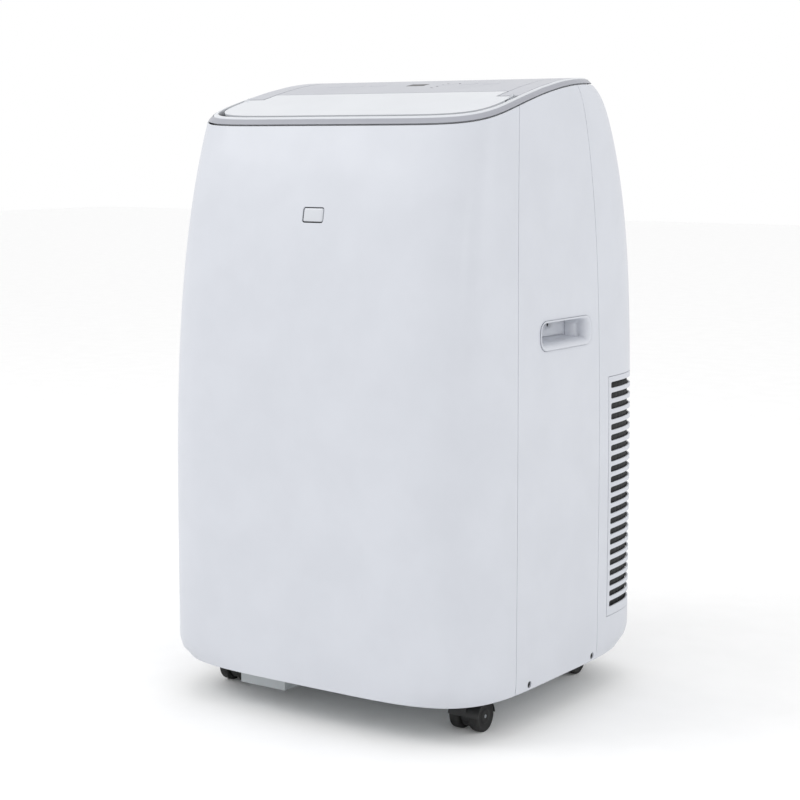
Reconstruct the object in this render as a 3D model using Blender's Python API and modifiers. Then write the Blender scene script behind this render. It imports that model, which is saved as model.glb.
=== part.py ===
"""Portable air conditioner as an assembly of separate, jointed pieces.

Frame: metres, +Z up, the front faces -Y, the origin is on the floor under the middle of the
case. Every size below is in millimetres and is scaled by MM when a mesh is made.
"""
import math

import bmesh
import bpy
from mathutils import Matrix, Vector

MM = 0.001
CLEARANCE = 0.3
WALL = 2.6
SEAM_GAP = 0.6
ROUND = 24
SMALL_ROUND = 12

# Case: plan half-sizes at the bottom, heights of its edges above the floor.
CASE_HALF_WIDTH = 220.0
FRONT_HALF_DEPTH = 189.7
REAR_HALF_DEPTH = 233.0
CENTRE_Y = (FRONT_HALF_DEPTH - REAR_HALF_DEPTH) / 2
CASE_BOTTOM = 44.0
RIM_FRONT = 649.9
RIM_REAR = 719.3
RIM_START_Y = -302.5
RIM_END_Y = 82.9
# Taper of the walls towards the top: share lost at the rim, and how late it starts.
TAPER_START = 0.033
SIDE_TAPER, SIDE_POWER = 0.0966, 3.36
FRONT_TAPER, FRONT_POWER = 0.3726, 3.98
REAR_TAPER, REAR_POWER = 0.1926, 6.4
REAR_ROLL, ROLL_POWER = 0.0924, 60.0
# Squareness of the plan outline (the superellipse exponent) at mid height and at the ends.
SQUARE_MID = 6.73
SQUARE_FOOT = 4.54
SQUARE_TOP_FRONT = 7.25
SQUARE_TOP_REAR = 5.0
FOOT_ZONE = 0.039
TOP_ZONE = 0.365
FOOT_TUCK = 0.35

# Vertical seams, as shares of the front and rear half-depths.
FRONT_SEAM = -0.45
REAR_SEAM = 0.424

# Deck: the sloping top between the rims.
TRIM_SLANT = 5.8
TRIM_WIDTH = 9.5
DECK_LIFT = 7.5
DECK_THICKNESS = 3.0
TRIM_GAP = 0.5
FLAP_INSET = 11.0
DECK_INSET = 10.0
FLAP_EAR_Y = -68.0
FLAP_REAR_Y = -43.5
FLAP_HALF_WIDTH = 164.0
PANEL_FRONT_Y = -41.5
PANEL_REAR_Y = 52.0
PANEL_HALF_WIDTH = 164.0
FLAP_AXIS_Y = -44.5
EDGE_GAP = 1.5

# Handle recesses in the side panels.
HANDLE_Z = 440.0
HANDLE_HALF_LENGTH = 55.0
HANDLE_HALF_HEIGHT = 16.0
HANDLE_CORNER = 14.0
HANDLE_DEPTH_X = 188.0
HANDLE_MOUTH_X = 215.6

# Rear grilles.
GRILLE_LOW_Z = 90.0
GRILLE_HIGH_Z = 380.0
GRILLE_FRONT_Y = 100.0
SLOT_COUNT = 22
SLOT_PITCH = 12.6
SLOT_HEIGHT = 7.2
SLOT_FIRST_Z = 101.0
SLOT_FRONT_Y = 107.0
UPPER_GRILLE_LOW_Z = 556.0
UPPER_GRILLE_HIGH_Z = 688.0
UPPER_GRILLE_HALF_WIDTH = 165.0
UPPER_SLOT_COUNT = 9
LOWER_OPENING = ((-260, GRILLE_FRONT_Y, GRILLE_LOW_Z), (260, 260, GRILLE_HIGH_Z))
UPPER_OPENING = ((-UPPER_GRILLE_HALF_WIDTH, 120, UPPER_GRILLE_LOW_Z),
                 (UPPER_GRILLE_HALF_WIDTH, 260, UPPER_GRILLE_HIGH_Z))

# Hose outlet, drain and cord inlet on the rear wall.
EXHAUST_Z = 465.0
EXHAUST_RADIUS = 74.0
DRAIN_Z = 71.0
GLAND_X = -150.0
GLAND_RADIUS = 8.0

# Base pan and casters.
PAN_BOTTOM = 41.0
PAN_INSET = 8.0
PAN_WALL_TOP = 58.0
CASTER_X = 168.0
REAR_CASTER_X = 140.0
CASTER_Y = 130.0
WHEEL_RADIUS = 18.0
CASTER_TRAIL = 12.0
STEM_RADIUS = 5.0

# Upper and lower blowers.
BLOWER_FRONT_Y = -139.0
BLOWER_REAR_Y = -54.0
UPPER_BLOWER_Z = 540.0
LOWER_BLOWER_Z = 215.0
WHEEL_OUTER = 80.0

# Outlet duct with its vanes.
DUCT_HALF_WIDTH = 142.0
DUCT_FRONT_Y = -142.0
DUCT_REAR_Y = -52.0
DUCT_BOTTOM = 640.0
VANE_COUNT = 5
VANE_PITCH = 52.0
VANE_AXIS_Z = 655.0
VANE_LOW_Z = 645.0
VANE_HIGH_Z = 665.0

WHITE = (0.80, 0.83, 0.86, 1.0)
PALE_GREY = (0.66, 0.68, 0.72, 1.0)
FLAP_WHITE = (0.84, 0.87, 0.90, 1.0)
GREY = (0.42, 0.43, 0.47, 1.0)
BLACK = (0.02, 0.02, 0.02, 1.0)
STEEL = (0.55, 0.56, 0.58, 1.0)
COPPER = (0.72, 0.38, 0.22, 1.0)
ALUMINIUM = (0.70, 0.72, 0.74, 1.0)


def clear_scene():
    for item in list(bpy.data.objects):
        bpy.data.objects.remove(item, do_unlink=True)


clear_scene()
parts = bpy.data.collections.new("portable_air_conditioner")
cutters = bpy.data.collections.new("cutters")
bpy.context.scene.collection.children.link(parts)
bpy.context.scene.collection.children.link(cutters)


def material(name, colour, roughness, metallic=0.0):
    made = bpy.data.materials.new(name)
    made.use_nodes = True
    shader = made.node_tree.nodes["Principled BSDF"]
    shader.inputs["Base Color"].default_value = colour
    shader.inputs["Roughness"].default_value = roughness
    shader.inputs["Metallic"].default_value = metallic
    return made


def link_piece(name, mesh, look, location=(0.0, 0.0, 0.0)):
    """Put a mesh into the scene as a finished piece with its own material."""
    piece = bpy.data.objects.new(name, mesh)
    piece.location = Vector(location) * MM
    colour, roughness, metallic = look
    mesh.materials.append(material(name + "_finish", colour, roughness, metallic))
    parts.objects.link(piece)
    return piece


def link_cutter(name, mesh, location=(0.0, 0.0, 0.0)):
    cutter = bpy.data.objects.new(name, mesh)
    cutter.location = Vector(location) * MM
    cutter.hide_render = True
    cutter.display_type = "WIRE"
    cutters.objects.link(cutter)
    return cutter


def combine(piece, cutter, operation="DIFFERENCE"):
    boolean = piece.modifiers.new(cutter.name, "BOOLEAN")
    boolean.operation = operation
    boolean.object = cutter
    return piece


def finish_mesh(bm, name, smooth=False):
    mesh = bpy.data.meshes.new(name)
    bm.to_mesh(mesh)
    bm.free()
    if smooth:
        mesh.shade_smooth()
        mesh.set_sharp_from_angle(angle=math.radians(35))
    return mesh


def boxes_mesh(name, corner_pairs, origin=(0.0, 0.0, 0.0), rounding=0.0, edge_axis=None):
    """Boxes between pairs of corners, measured from origin; rounding bevels their edges."""
    bm = bmesh.new()
    for low, high in corner_pairs:
        middle = (Vector(low) + Vector(high)) / 2 - Vector(origin)
        size = Vector(high) - Vector(low)
        place = Matrix.Translation(middle * MM) @ Matrix.Diagonal((*(size * MM), 1.0))
        bmesh.ops.create_cube(bm, size=1.0, matrix=place)
    if rounding:
        edges = bm.edges[:]
        if edge_axis is not None:
            edges = [e for e in edges if runs_along(e, edge_axis)]
        bmesh.ops.bevel(bm, geom=edges, offset=rounding * MM, segments=4, affect="EDGES",
                        profile=0.5)
    return finish_mesh(bm, name)


def runs_along(edge, axis):
    run = edge.verts[1].co - edge.verts[0].co
    return abs(run[axis]) > 0.99 * run.length


def block(name, low, high, look, rounding=0.0, edge_axis=None):
    middle = (Vector(low) + Vector(high)) / 2
    mesh = boxes_mesh(name, [(low, high)], middle, rounding, edge_axis)
    return link_piece(name, mesh, look, middle)


def block_cutter(name, low, high, rounding=0.0, edge_axis=None):
    middle = (Vector(low) + Vector(high)) / 2
    return link_cutter(name, boxes_mesh(name, [(low, high)], middle, rounding, edge_axis), middle)


AXIS_TURNS = {
    "X": Matrix.Rotation(math.radians(90), 4, "Y"),
    "Y": Matrix.Rotation(math.radians(-90), 4, "X"),
    "Z": Matrix.Identity(4),
}


def drum_mesh(name, radius, length, axis="Z", segments=ROUND):
    bm = bmesh.new()
    bmesh.ops.create_cone(bm, cap_ends=True, segments=segments, radius1=radius * MM,
                          radius2=radius * MM, depth=length * MM, matrix=AXIS_TURNS[axis])
    return finish_mesh(bm, name, smooth=True)


def drum(name, centre, radius, length, look, axis="Z", segments=ROUND):
    return link_piece(name, drum_mesh(name, radius, length, axis, segments), look, centre)


def drum_cutter(name, centre, radius, length, axis="Z", segments=ROUND):
    return link_cutter(name, drum_mesh(name, radius, length, axis, segments), centre)


def turned(name, profile, centre, look, axis="Z", segments=ROUND):
    """Turn a closed profile of (radius, height) points, outer side from top to bottom."""
    mesh = bpy.data.meshes.new(name)
    count = len(profile)
    open_ends = profile[0][0] == 0.0
    edges = [(i, i + 1) for i in range(count - 1)]
    if not open_ends:
        edges.append((count - 1, 0))
    mesh.from_pydata([(r * MM, 0.0, h * MM) for r, h in profile], edges, [])
    piece = link_piece(name, mesh, look, centre)
    piece.rotation_euler = AXIS_TURNS[axis].to_euler()
    screw = piece.modifiers.new("turn", "SCREW")
    screw.steps = segments
    screw.render_steps = segments
    screw.use_merge_vertices = True
    screw.merge_threshold = 0.00005
    screw.use_smooth_shade = True
    return piece


# ---------------------------------------------------------------- case surface

def height_share(z):
    return (z - CASE_BOTTOM) / (RIM_REAR - CASE_BOTTOM)


def taper(loss, power, share):
    rise = min(max((share - TAPER_START) / (1 - TAPER_START), 0.0), 1.2)
    return 1 - loss * rise ** power


def half_sizes(z, inset=0.0):
    """Half width, front half depth and rear half depth of the outline at height z."""
    share = height_share(z)
    tuck = FOOT_TUCK * foot_weight(share) + inset
    return (CASE_HALF_WIDTH * taper(SIDE_TAPER, SIDE_POWER, share) - tuck,
            FRONT_HALF_DEPTH * taper(FRONT_TAPER, FRONT_POWER, share) - tuck,
            REAR_HALF_DEPTH * (taper(REAR_TAPER, REAR_POWER, share)
                               + taper(REAR_ROLL, ROLL_POWER, share) - 1) - tuck)


def foot_weight(share):
    return min(max((FOOT_ZONE - share) / FOOT_ZONE, 0.0), 1.0) ** 2


def squareness(z, rear):
    share = height_share(z)
    top = min(max((share - 1 + TOP_ZONE) / TOP_ZONE, 0.0), 1.1) ** 2
    top_value = SQUARE_TOP_REAR if rear else SQUARE_TOP_FRONT
    return (SQUARE_MID + (SQUARE_FOOT - SQUARE_MID) * foot_weight(share)
            + (top_value - SQUARE_MID) * top)


def outline_point(angle, z, inset=0.0):
    """A point of the case's plan outline: a superellipse with unlike front and rear halves."""
    half_width, front, rear = half_sizes(z, inset)
    cosine, sine = math.cos(angle), math.sin(angle)
    power = 2 / squareness(z, sine > 0)
    x = half_width * math.copysign(abs(cosine) ** power, cosine)
    depth = rear if sine > 0 else front
    y = depth * math.copysign(abs(sine) ** power, sine)
    return x, y + CENTRE_Y


def rim_height(y):
    """Height of the case's upper edge: an S-curve that falls from the rear to the front."""
    share = min(max((y - RIM_START_Y) / (RIM_END_Y - RIM_START_Y), 0.0), 1.0)
    return RIM_FRONT + (RIM_REAR - RIM_FRONT) * share * share * (3 - 2 * share)


def rim_point(angle, inset=0.0, lift=0.0):
    z = RIM_FRONT
    for _ in range(8):
        x, y = outline_point(angle, z, inset)
        z = rim_height(y)
    return x, y, z + lift


def seam_angle(z, y, left):
    """The outline's angle at which it passes the given y."""
    _, front, rear = half_sizes(z)
    offset = y - CENTRE_Y
    depth = rear if offset > 0 else front
    sine = (abs(offset) / depth) ** (squareness(z, offset > 0) / 2)
    angle = math.copysign(math.asin(min(sine, 1.0)), offset)
    return math.pi - angle if left else angle


def front_seam_y(z):
    return CENTRE_Y + FRONT_SEAM * half_sizes(z)[1]


def rear_seam_y(z):
    return CENTRE_Y + REAR_SEAM * half_sizes(z)[2]


def column_angle(edges, across, z):
    """Angle of a panel's column at height z; edges are its two seams' angle functions."""
    start, end = edges
    return start(z) * (1 - across) + end(z) * across


def column_top(edges, across):
    """Height at which a panel's column meets the sloping rim."""
    high = RIM_FRONT
    for _ in range(8):
        high = rim_height(outline_point(column_angle(edges, across, high), high)[1])
    return high


def case_sheet(name, edges, columns, rows, top=None, bottom=CASE_BOTTOM):
    """Open sheet of the case between two seams."""
    bm = bmesh.new()
    grid = []
    for j in range(columns + 1):
        across = j / columns
        high = column_top(edges, across) if top is None else top
        line = []
        for row in rows:
            z = bottom + (high - bottom) * row
            x, y = outline_point(column_angle(edges, across, z), z)
            line.append(bm.verts.new((x * MM, y * MM, z * MM)))
        grid.append(line)
    for first, second in zip(grid, grid[1:]):
        for k in range(len(rows) - 1):
            bm.faces.new((first[k], second[k], second[k + 1], first[k + 1]))
    return finish_mesh(bm, name, smooth=True)


CASE_ROWS = (0.0, 0.008, 0.02, 0.04, 0.16, 0.3, 0.43, 0.55, 0.65, 0.74, 0.82, 0.89, 0.94, 0.965, 0.98, 0.99,
             1.0)
SIDE_ROWS = (0.0, 0.02, 0.04, 0.2, 0.4, 0.55, 0.68, 0.8, 0.9, 1.0)


def shell(name, mesh, look, thickness=WALL):
    piece = link_piece(name, mesh, look)
    solidify = piece.modifiers.new("wall", "SOLIDIFY")
    solidify.thickness = thickness * MM
    solidify.offset = -1.0
    return piece


def front_seam_angle(z, offset, left=False):
    return seam_angle(z, front_seam_y(z) + offset, left)


def rear_seam_angle(z, offset, left=False):
    return seam_angle(z, rear_seam_y(z) + offset, left)


HALF_GAP = SEAM_GAP / 2
FRONT_EDGES = (lambda z: front_seam_angle(z, -HALF_GAP, True) - 2 * math.pi,
               lambda z: front_seam_angle(z, -HALF_GAP))
RIGHT_EDGES = (lambda z: front_seam_angle(z, HALF_GAP), lambda z: rear_seam_angle(z, -HALF_GAP))
REAR_EDGES = (lambda z: rear_seam_angle(z, HALF_GAP), lambda z: rear_seam_angle(z, HALF_GAP, True))
LEFT_EDGES = (lambda z: rear_seam_angle(z, -HALF_GAP, True),
              lambda z: front_seam_angle(z, HALF_GAP, True))
ARC_COLUMNS = 24
SIDE_COLUMNS = 6


def make_front_cover():
    piece = shell("front_cover", case_sheet("front_cover", FRONT_EDGES, ARC_COLUMNS, CASE_ROWS),
                  (WHITE, 0.3, 0.0))
    window = block_cutter("window_cut", (-14.6, -240, 565.4), (14.6, -140, 582.6), 3.0, 1)
    return combine(piece, window)


def make_side_panels():
    for side, sign, edges in (("left", -1, LEFT_EDGES), ("right", 1, RIGHT_EDGES)):
        name = "side_panel_" + side
        piece = shell(name, case_sheet(name, edges, SIDE_COLUMNS, SIDE_ROWS), (WHITE, 0.35, 0.0))
        cut = block_cutter("handle_cut_" + side,
                           (sign * 214 - 30, -HANDLE_HALF_LENGTH, HANDLE_Z - HANDLE_HALF_HEIGHT),
                           (sign * 214 + 30, HANDLE_HALF_LENGTH, HANDLE_Z + HANDLE_HALF_HEIGHT),
                           HANDLE_CORNER, 0)
        combine(piece, cut)


def make_handle_cups():
    inner = CLEARANCE + 2.0
    for side, sign in (("left", -1), ("right", 1)):
        half_length = HANDLE_HALF_LENGTH - CLEARANCE
        half_height = HANDLE_HALF_HEIGHT - CLEARANCE
        near, far = sorted((sign * HANDLE_DEPTH_X, sign * HANDLE_MOUTH_X))
        cup = block("handle_cup_" + side, (near, -half_length, HANDLE_Z - half_height),
                    (far, half_length, HANDLE_Z + half_height), (WHITE, 0.4, 0.0),
                    HANDLE_CORNER - CLEARANCE, 0)
        floor, mouth = sorted((sign * (HANDLE_DEPTH_X + 2), sign * (HANDLE_MOUTH_X + 10)))
        hollow = block_cutter("handle_hollow_" + side,
                              (floor, inner - HANDLE_HALF_LENGTH,
                               HANDLE_Z + inner - HANDLE_HALF_HEIGHT),
                              (mouth, HANDLE_HALF_LENGTH - inner,
                               HANDLE_Z + HANDLE_HALF_HEIGHT - inner), HANDLE_CORNER - inner, 0)
        combine(cup, hollow)


def make_rear_housing():
    piece = shell("rear_housing", case_sheet("rear_housing", REAR_EDGES, ARC_COLUMNS, CASE_ROWS),
                  (WHITE, 0.35, 0.0))
    combine(piece, block_cutter("lower_opening", *LOWER_OPENING))
    combine(piece, block_cutter("upper_opening", *UPPER_OPENING))
    combine(piece, drum_cutter("exhaust_cut", (0, 210, EXHAUST_Z), EXHAUST_RADIUS, 60, "Y", 32))
    combine(piece, drum_cutter("drain_cut", (0, 210, DRAIN_Z), 9.0, 60, "Y", SMALL_ROUND))
    return combine(piece, drum_cutter("gland_cut", (GLAND_X, 205, DRAIN_Z), GLAND_RADIUS, 60,
                                      "Y", 16))


def slot_boxes():
    """Slots of the lower grille: a long one across the rear and one round each corner."""
    boxes = []
    for i in range(SLOT_COUNT):
        low = SLOT_FIRST_Z + SLOT_PITCH * i
        high = low + SLOT_HEIGHT
        boxes.append(((-138, 150, low), (138, 260, high)))
        boxes.append(((150, SLOT_FRONT_Y, low), (260, 260, high)))
        boxes.append(((-260, SLOT_FRONT_Y, low), (-150, 260, high)))
    return boxes


def grille_panel(name, low, high, boxes, columns, rows):
    """The piece of the rear wall inside a box, with its slots cut through."""
    edges = (lambda z: seam_angle(z, low[1] - 5, False), lambda z: seam_angle(z, low[1] - 5, True))
    sheet = case_sheet(name, edges, columns, rows, high[2] + 5, low[2] - 5)
    panel = shell(name, sheet, (WHITE, 0.4, 0.0))
    gap = Vector((CLEARANCE, CLEARANCE, CLEARANCE))
    combine(panel, block_cutter(name + "_frame", Vector(low) + gap, Vector(high) - gap),
            "INTERSECT")
    return combine(panel, link_cutter(name + "_slots", boxes_mesh(name + "_slots", boxes)))


def make_rear_grilles():
    grille_panel("rear_grille_lower", LOWER_OPENING[0], LOWER_OPENING[1], slot_boxes(),
                 12, (0.0, 0.4, 0.7, 1.0))
    boxes = []
    for i in range(UPPER_SLOT_COUNT):
        low = UPPER_GRILLE_LOW_Z + 10 + SLOT_PITCH * i
        for left in (-155, -49, 57):
            boxes.append(((left, 130, low), (left + 98, 260, low + SLOT_HEIGHT)))
    grille_panel("rear_grille_upper", UPPER_OPENING[0], UPPER_OPENING[1], boxes,
                 12, (0.0, 0.4, 0.7, 1.0))


# ---------------------------------------------------------------- top

def deck_sheet(name, inset, lift):
    """Open sheet of the sloping top: lines across the rim outline, from front to rear."""
    bm = bmesh.new()
    lines = []
    for angle in [a for a in rim_angles() if abs(a) < math.pi / 2 - 0.01]:
        x, y, z = rim_point(angle, inset, lift)
        lines.append([bm.verts.new((side * x * MM, y * MM, z * MM)) for side in (-1, 1)])
    for first, second in zip(lines, lines[1:]):
        bm.faces.new(first + second[::-1])
    return finish_mesh(bm, name)


def rim_angles():
    """Angles of all the panels' columns where they meet the rim, once round."""
    angles = []
    for edges, columns in ((FRONT_EDGES, ARC_COLUMNS), (RIGHT_EDGES, SIDE_COLUMNS),
                           (REAR_EDGES, ARC_COLUMNS), (LEFT_EDGES, SIDE_COLUMNS)):
        for j in range(columns):
            across = j / columns
            angles.append(column_angle(edges, across, column_top(edges, across)))
    return angles


def make_trim_ring():
    """Band round the top: a loft of one cross-section along the rim outline."""
    profile = ((0.0, TRIM_GAP), (4.5, TRIM_GAP), (4.5, -5.0), (TRIM_WIDTH, -5.0),
               (TRIM_WIDTH, DECK_LIFT), (TRIM_SLANT, DECK_LIFT))
    bm = bmesh.new()
    rings = [[bm.verts.new(Vector(rim_point(angle, inset, lift)) * MM)
              for inset, lift in profile] for angle in rim_angles()]
    for i, ring in enumerate(rings):
        following = rings[(i + 1) % len(rings)]
        for k in range(len(profile)):
            m = (k + 1) % len(profile)
            bm.faces.new((ring[k], ring[m], following[m], following[k]))
    bmesh.ops.recalc_face_normals(bm, faces=bm.faces[:])
    return link_piece("top_trim_ring", finish_mesh(bm, "top_trim_ring"), (GREY, 0.4, 0.0))


def make_top_cover():
    piece = shell("top_cover", deck_sheet("top_cover", DECK_INSET, DECK_LIFT),
                  (PALE_GREY, 0.4, 0.0), DECK_THICKNESS)
    combine(piece, block_cutter("flap_front_cut", (-260, -260, 600),
                                (260, FLAP_EAR_Y + EDGE_GAP, 800)))
    half = FLAP_HALF_WIDTH + EDGE_GAP
    combine(piece, block_cutter("flap_rear_cut", (-half, -100, 600),
                                (half, PANEL_REAR_Y + CLEARANCE, 800)))
    return piece


def make_flap():
    piece = shell("outlet_flap", deck_sheet("outlet_flap", FLAP_INSET, DECK_LIFT),
                  (FLAP_WHITE, 0.35, 0.0), DECK_THICKNESS)
    combine(piece, block_cutter("flap_back", (-260, FLAP_REAR_Y, 600), (260, 260, 800)))
    ears = [((FLAP_HALF_WIDTH, FLAP_EAR_Y, 600), (260, 0, 800)),
            ((-260, FLAP_EAR_Y, 600), (-FLAP_HALF_WIDTH, 0, 800))]
    combine(piece, link_cutter("flap_ears", boxes_mesh("flap_ears", ears)))
    move_origin(piece, (0.0, FLAP_AXIS_Y, flap_axis_z()))
    return piece


def flap_axis_z():
    return rim_height(FLAP_AXIS_Y) + DECK_LIFT - DECK_THICKNESS / 2


def move_origin(piece, place):
    """Put a piece's origin on its joint's axis without moving the piece."""
    offset = Vector(place) * MM - piece.location
    piece.data.transform(Matrix.Translation(-offset))
    piece.location += offset


def deck_plate(name, half_width, front_y, rear_y, lift, thickness, look, stations=8):
    """Curved plate that follows the deck between two stations."""
    bm = bmesh.new()
    lines = []
    for i in range(stations + 1):
        y = front_y + (rear_y - front_y) * i / stations
        z = rim_height(y) + lift
        lines.append([bm.verts.new((side * half_width * MM, y * MM, z * MM))
                      for side in (-1, 1)])
    for first, second in zip(lines, lines[1:]):
        bm.faces.new(first + second[::-1])
    return shell(name, finish_mesh(bm, name), look, thickness)


BUTTONS = {"power": -110.0, "mode": -80.0, "fan_speed": -50.0,
           "timer": 50.0, "temperature_down": 80.0, "temperature_up": 110.0}
BUTTON_Y = 8.0
BUTTON_HALF = (9.0, 5.0)
HOLE_MARGIN = 1.0
LENS_CENTRE = (8.0, 8.0)
LENS_HALF = (12.5, 7.5)


def make_control_panel():
    panel = deck_plate("control_panel", PANEL_HALF_WIDTH, PANEL_FRONT_Y, PANEL_REAR_Y,
                       DECK_LIFT, 2.5, (PALE_GREY, 0.35, 0.0))
    boxes = []
    for x in BUTTONS.values():
        boxes.append(((x - BUTTON_HALF[0] - 0.4, BUTTON_Y - BUTTON_HALF[1] - HOLE_MARGIN, 690),
                      (x + BUTTON_HALF[0] + 0.4, BUTTON_Y + BUTTON_HALF[1] + HOLE_MARGIN, 760)))
    low_x, high_x = (LENS_CENTRE[0] + sign * (LENS_HALF[0] + CLEARANCE) for sign in (-1, 1))
    low_y, high_y = (LENS_CENTRE[1] + sign * (LENS_HALF[1] + HOLE_MARGIN) for sign in (-1, 1))
    boxes.append(((low_x, low_y, 690), (high_x, high_y, 760)))
    combine(panel, link_cutter("panel_holes", boxes_mesh("panel_holes", boxes)))
    shift = Vector((LENS_CENTRE[0], 0.0, 0.0)) * MM
    lens = deck_plate("display_lens", LENS_HALF[0], LENS_CENTRE[1] - LENS_HALF[1],
                      LENS_CENTRE[1] + LENS_HALF[1], DECK_LIFT - 0.2, 2.0,
                      (BLACK, 0.1, 0.0), 4)
    lens.location = shift
    for name, x in BUTTONS.items():
        button = deck_plate("button_" + name, BUTTON_HALF[0], BUTTON_Y - BUTTON_HALF[1],
                            BUTTON_Y + BUTTON_HALF[1], DECK_LIFT + 0.4, 3.0,
                            (FLAP_WHITE, 0.4, 0.0), 2)
        button.location = Vector((x, 0.0, 0.0)) * MM
        top = rim_height(BUTTON_Y) + DECK_LIFT
        move_origin(button, (x, BUTTON_Y, top))


def make_louvre_duct():
    tube = block("louvre_duct", (-DUCT_HALF_WIDTH, DUCT_FRONT_Y, DUCT_BOTTOM),
                 (DUCT_HALF_WIDTH, DUCT_REAR_Y, 720), (BLACK, 0.6, 0.0))
    trim = deck_plate_cutter("duct_top_trim", 200, -200, 0, DECK_LIFT - DECK_THICKNESS - 2.0, 90)
    combine(tube, trim)
    wall = 2.5
    return combine(tube, block_cutter("duct_hollow",
                                      (wall - DUCT_HALF_WIDTH, DUCT_FRONT_Y + wall, 600),
                                      (DUCT_HALF_WIDTH - wall, DUCT_REAR_Y - wall, 760)))


def deck_plate_cutter(name, half_width, front_y, rear_y, lift, height):
    """Solid that removes everything above the deck surface at the given lift."""
    plate = deck_plate(name, half_width, front_y, rear_y, lift + height, height,
                       (GREY, 0.5, 0.0), 16)
    for owner in list(plate.users_collection):
        owner.objects.unlink(plate)
    cutters.objects.link(plate)
    plate.hide_render = True
    plate.display_type = "WIRE"
    return plate


def make_vanes():
    middle_y = (DUCT_FRONT_Y + DUCT_REAR_Y) / 2
    pin_half = (DUCT_REAR_Y - DUCT_FRONT_Y) / 2 - 2.5 - CLEARANCE
    for i in range(VANE_COUNT):
        x = VANE_PITCH * (i - (VANE_COUNT - 1) / 2)
        name = "vane_{}".format(i + 1)
        blade = boxes_mesh(name, [((-1, -36, VANE_LOW_Z - VANE_AXIS_Z),
                                   (1, 36, VANE_HIGH_Z - VANE_AXIS_Z))])
        vane = link_piece(name, blade, (BLACK, 0.5, 0.0), (x, middle_y, VANE_AXIS_Z))
        combine(vane, drum_cutter(name + "_pin", (x, middle_y, VANE_AXIS_Z), 2.0, 2 * pin_half,
                                  "Y", 8), "UNION")
    bar_z = VANE_LOW_Z + 3
    bar_half = VANE_PITCH * (VANE_COUNT - 1) / 2 + 6
    bar = block("vane_link", (-bar_half, middle_y + 37.0, bar_z - 2),
                (bar_half, middle_y + 40.0, bar_z + 2), (BLACK, 0.5, 0.0))
    return bar


# ---------------------------------------------------------------- base

def pan_slab(name, low, high, inset, look=None):
    """Slab with the case's foot outline, used for the base pan and its hollow."""
    bm = bmesh.new()
    count = 48
    ring = []
    for i in range(count):
        x, y = outline_point(2 * math.pi * i / count, CASE_BOTTOM, inset)
        ring.append(bm.verts.new((x * MM, y * MM, low * MM)))
    bm.faces.new(ring[::-1])
    raised = bmesh.ops.extrude_face_region(bm, geom=bm.faces[:])
    verts = [g for g in raised["geom"] if isinstance(g, bmesh.types.BMVert)]
    bmesh.ops.translate(bm, verts=verts, vec=(0, 0, (high - low) * MM))
    bmesh.ops.recalc_face_normals(bm, faces=bm.faces[:])
    mesh = finish_mesh(bm, name)
    if look is None:
        return link_cutter(name, mesh)
    return link_piece(name, mesh, look)


def make_base_pan():
    pan = pan_slab("base_pan", PAN_BOTTOM, PAN_WALL_TOP, PAN_INSET, (GREY, 0.6, 0.0))
    combine(pan, pan_slab("pan_hollow", PAN_BOTTOM + 3, PAN_WALL_TOP + 10, PAN_INSET + 2.5))
    sump = block_cutter("sump", (-122, -172, 19), (-56, -110, PAN_BOTTOM + 1))
    combine(pan, sump, "UNION")
    combine(pan, block_cutter("sump_hollow", (-119.5, -169.5, 21.5), (-58.5, -112.5, 60)))
    for y in (-CASTER_Y, CASTER_Y):
        for x in (-caster_x(y), caster_x(y)):
            hole = drum_cutter("stem_hole_{:.0f}_{:.0f}".format(x, y), (x, y, PAN_BOTTOM),
                               STEM_RADIUS + CLEARANCE, 20, "Z", 16)
            combine(pan, hole)
    return pan


CORNERS = {"front_left": (-1, -1), "front_right": (1, -1),
           "rear_left": (-1, 1), "rear_right": (1, 1)}


def caster_x(end):
    """Distance of the casters from the middle: the rear ones (end above 0) stand closer."""
    return REAR_CASTER_X if end > 0 else CASTER_X


def make_casters():
    for corner, (side, end) in CORNERS.items():
        x, y = side * caster_x(end), end * CASTER_Y
        wheel_y = y + CASTER_TRAIL
        make_caster_fork(corner, x, y, wheel_y)
        wheel = turned("caster_wheel_" + corner,
                       [(WHEEL_RADIUS - 1.5, 19.0), (WHEEL_RADIUS, 17.0), (WHEEL_RADIUS, 7.5),
                        (WHEEL_RADIUS - 1.5, 6.2), (5.2, 6.2), (5.2, -6.2),
                        (WHEEL_RADIUS - 1.5, -6.2), (WHEEL_RADIUS, -7.5), (WHEEL_RADIUS, -17.0),
                        (WHEEL_RADIUS - 1.5, -19.0), (2.3, -19.0), (2.3, 19.0)],
                       (x, wheel_y, WHEEL_RADIUS), (BLACK, 0.5, 0.0), "X", ROUND)
        wheel.data.name = wheel.name
        drum("caster_axle_" + corner, (x, wheel_y, WHEEL_RADIUS), 2.0, 37.6, (STEEL, 0.3, 1.0),
             "X", SMALL_ROUND)


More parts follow.
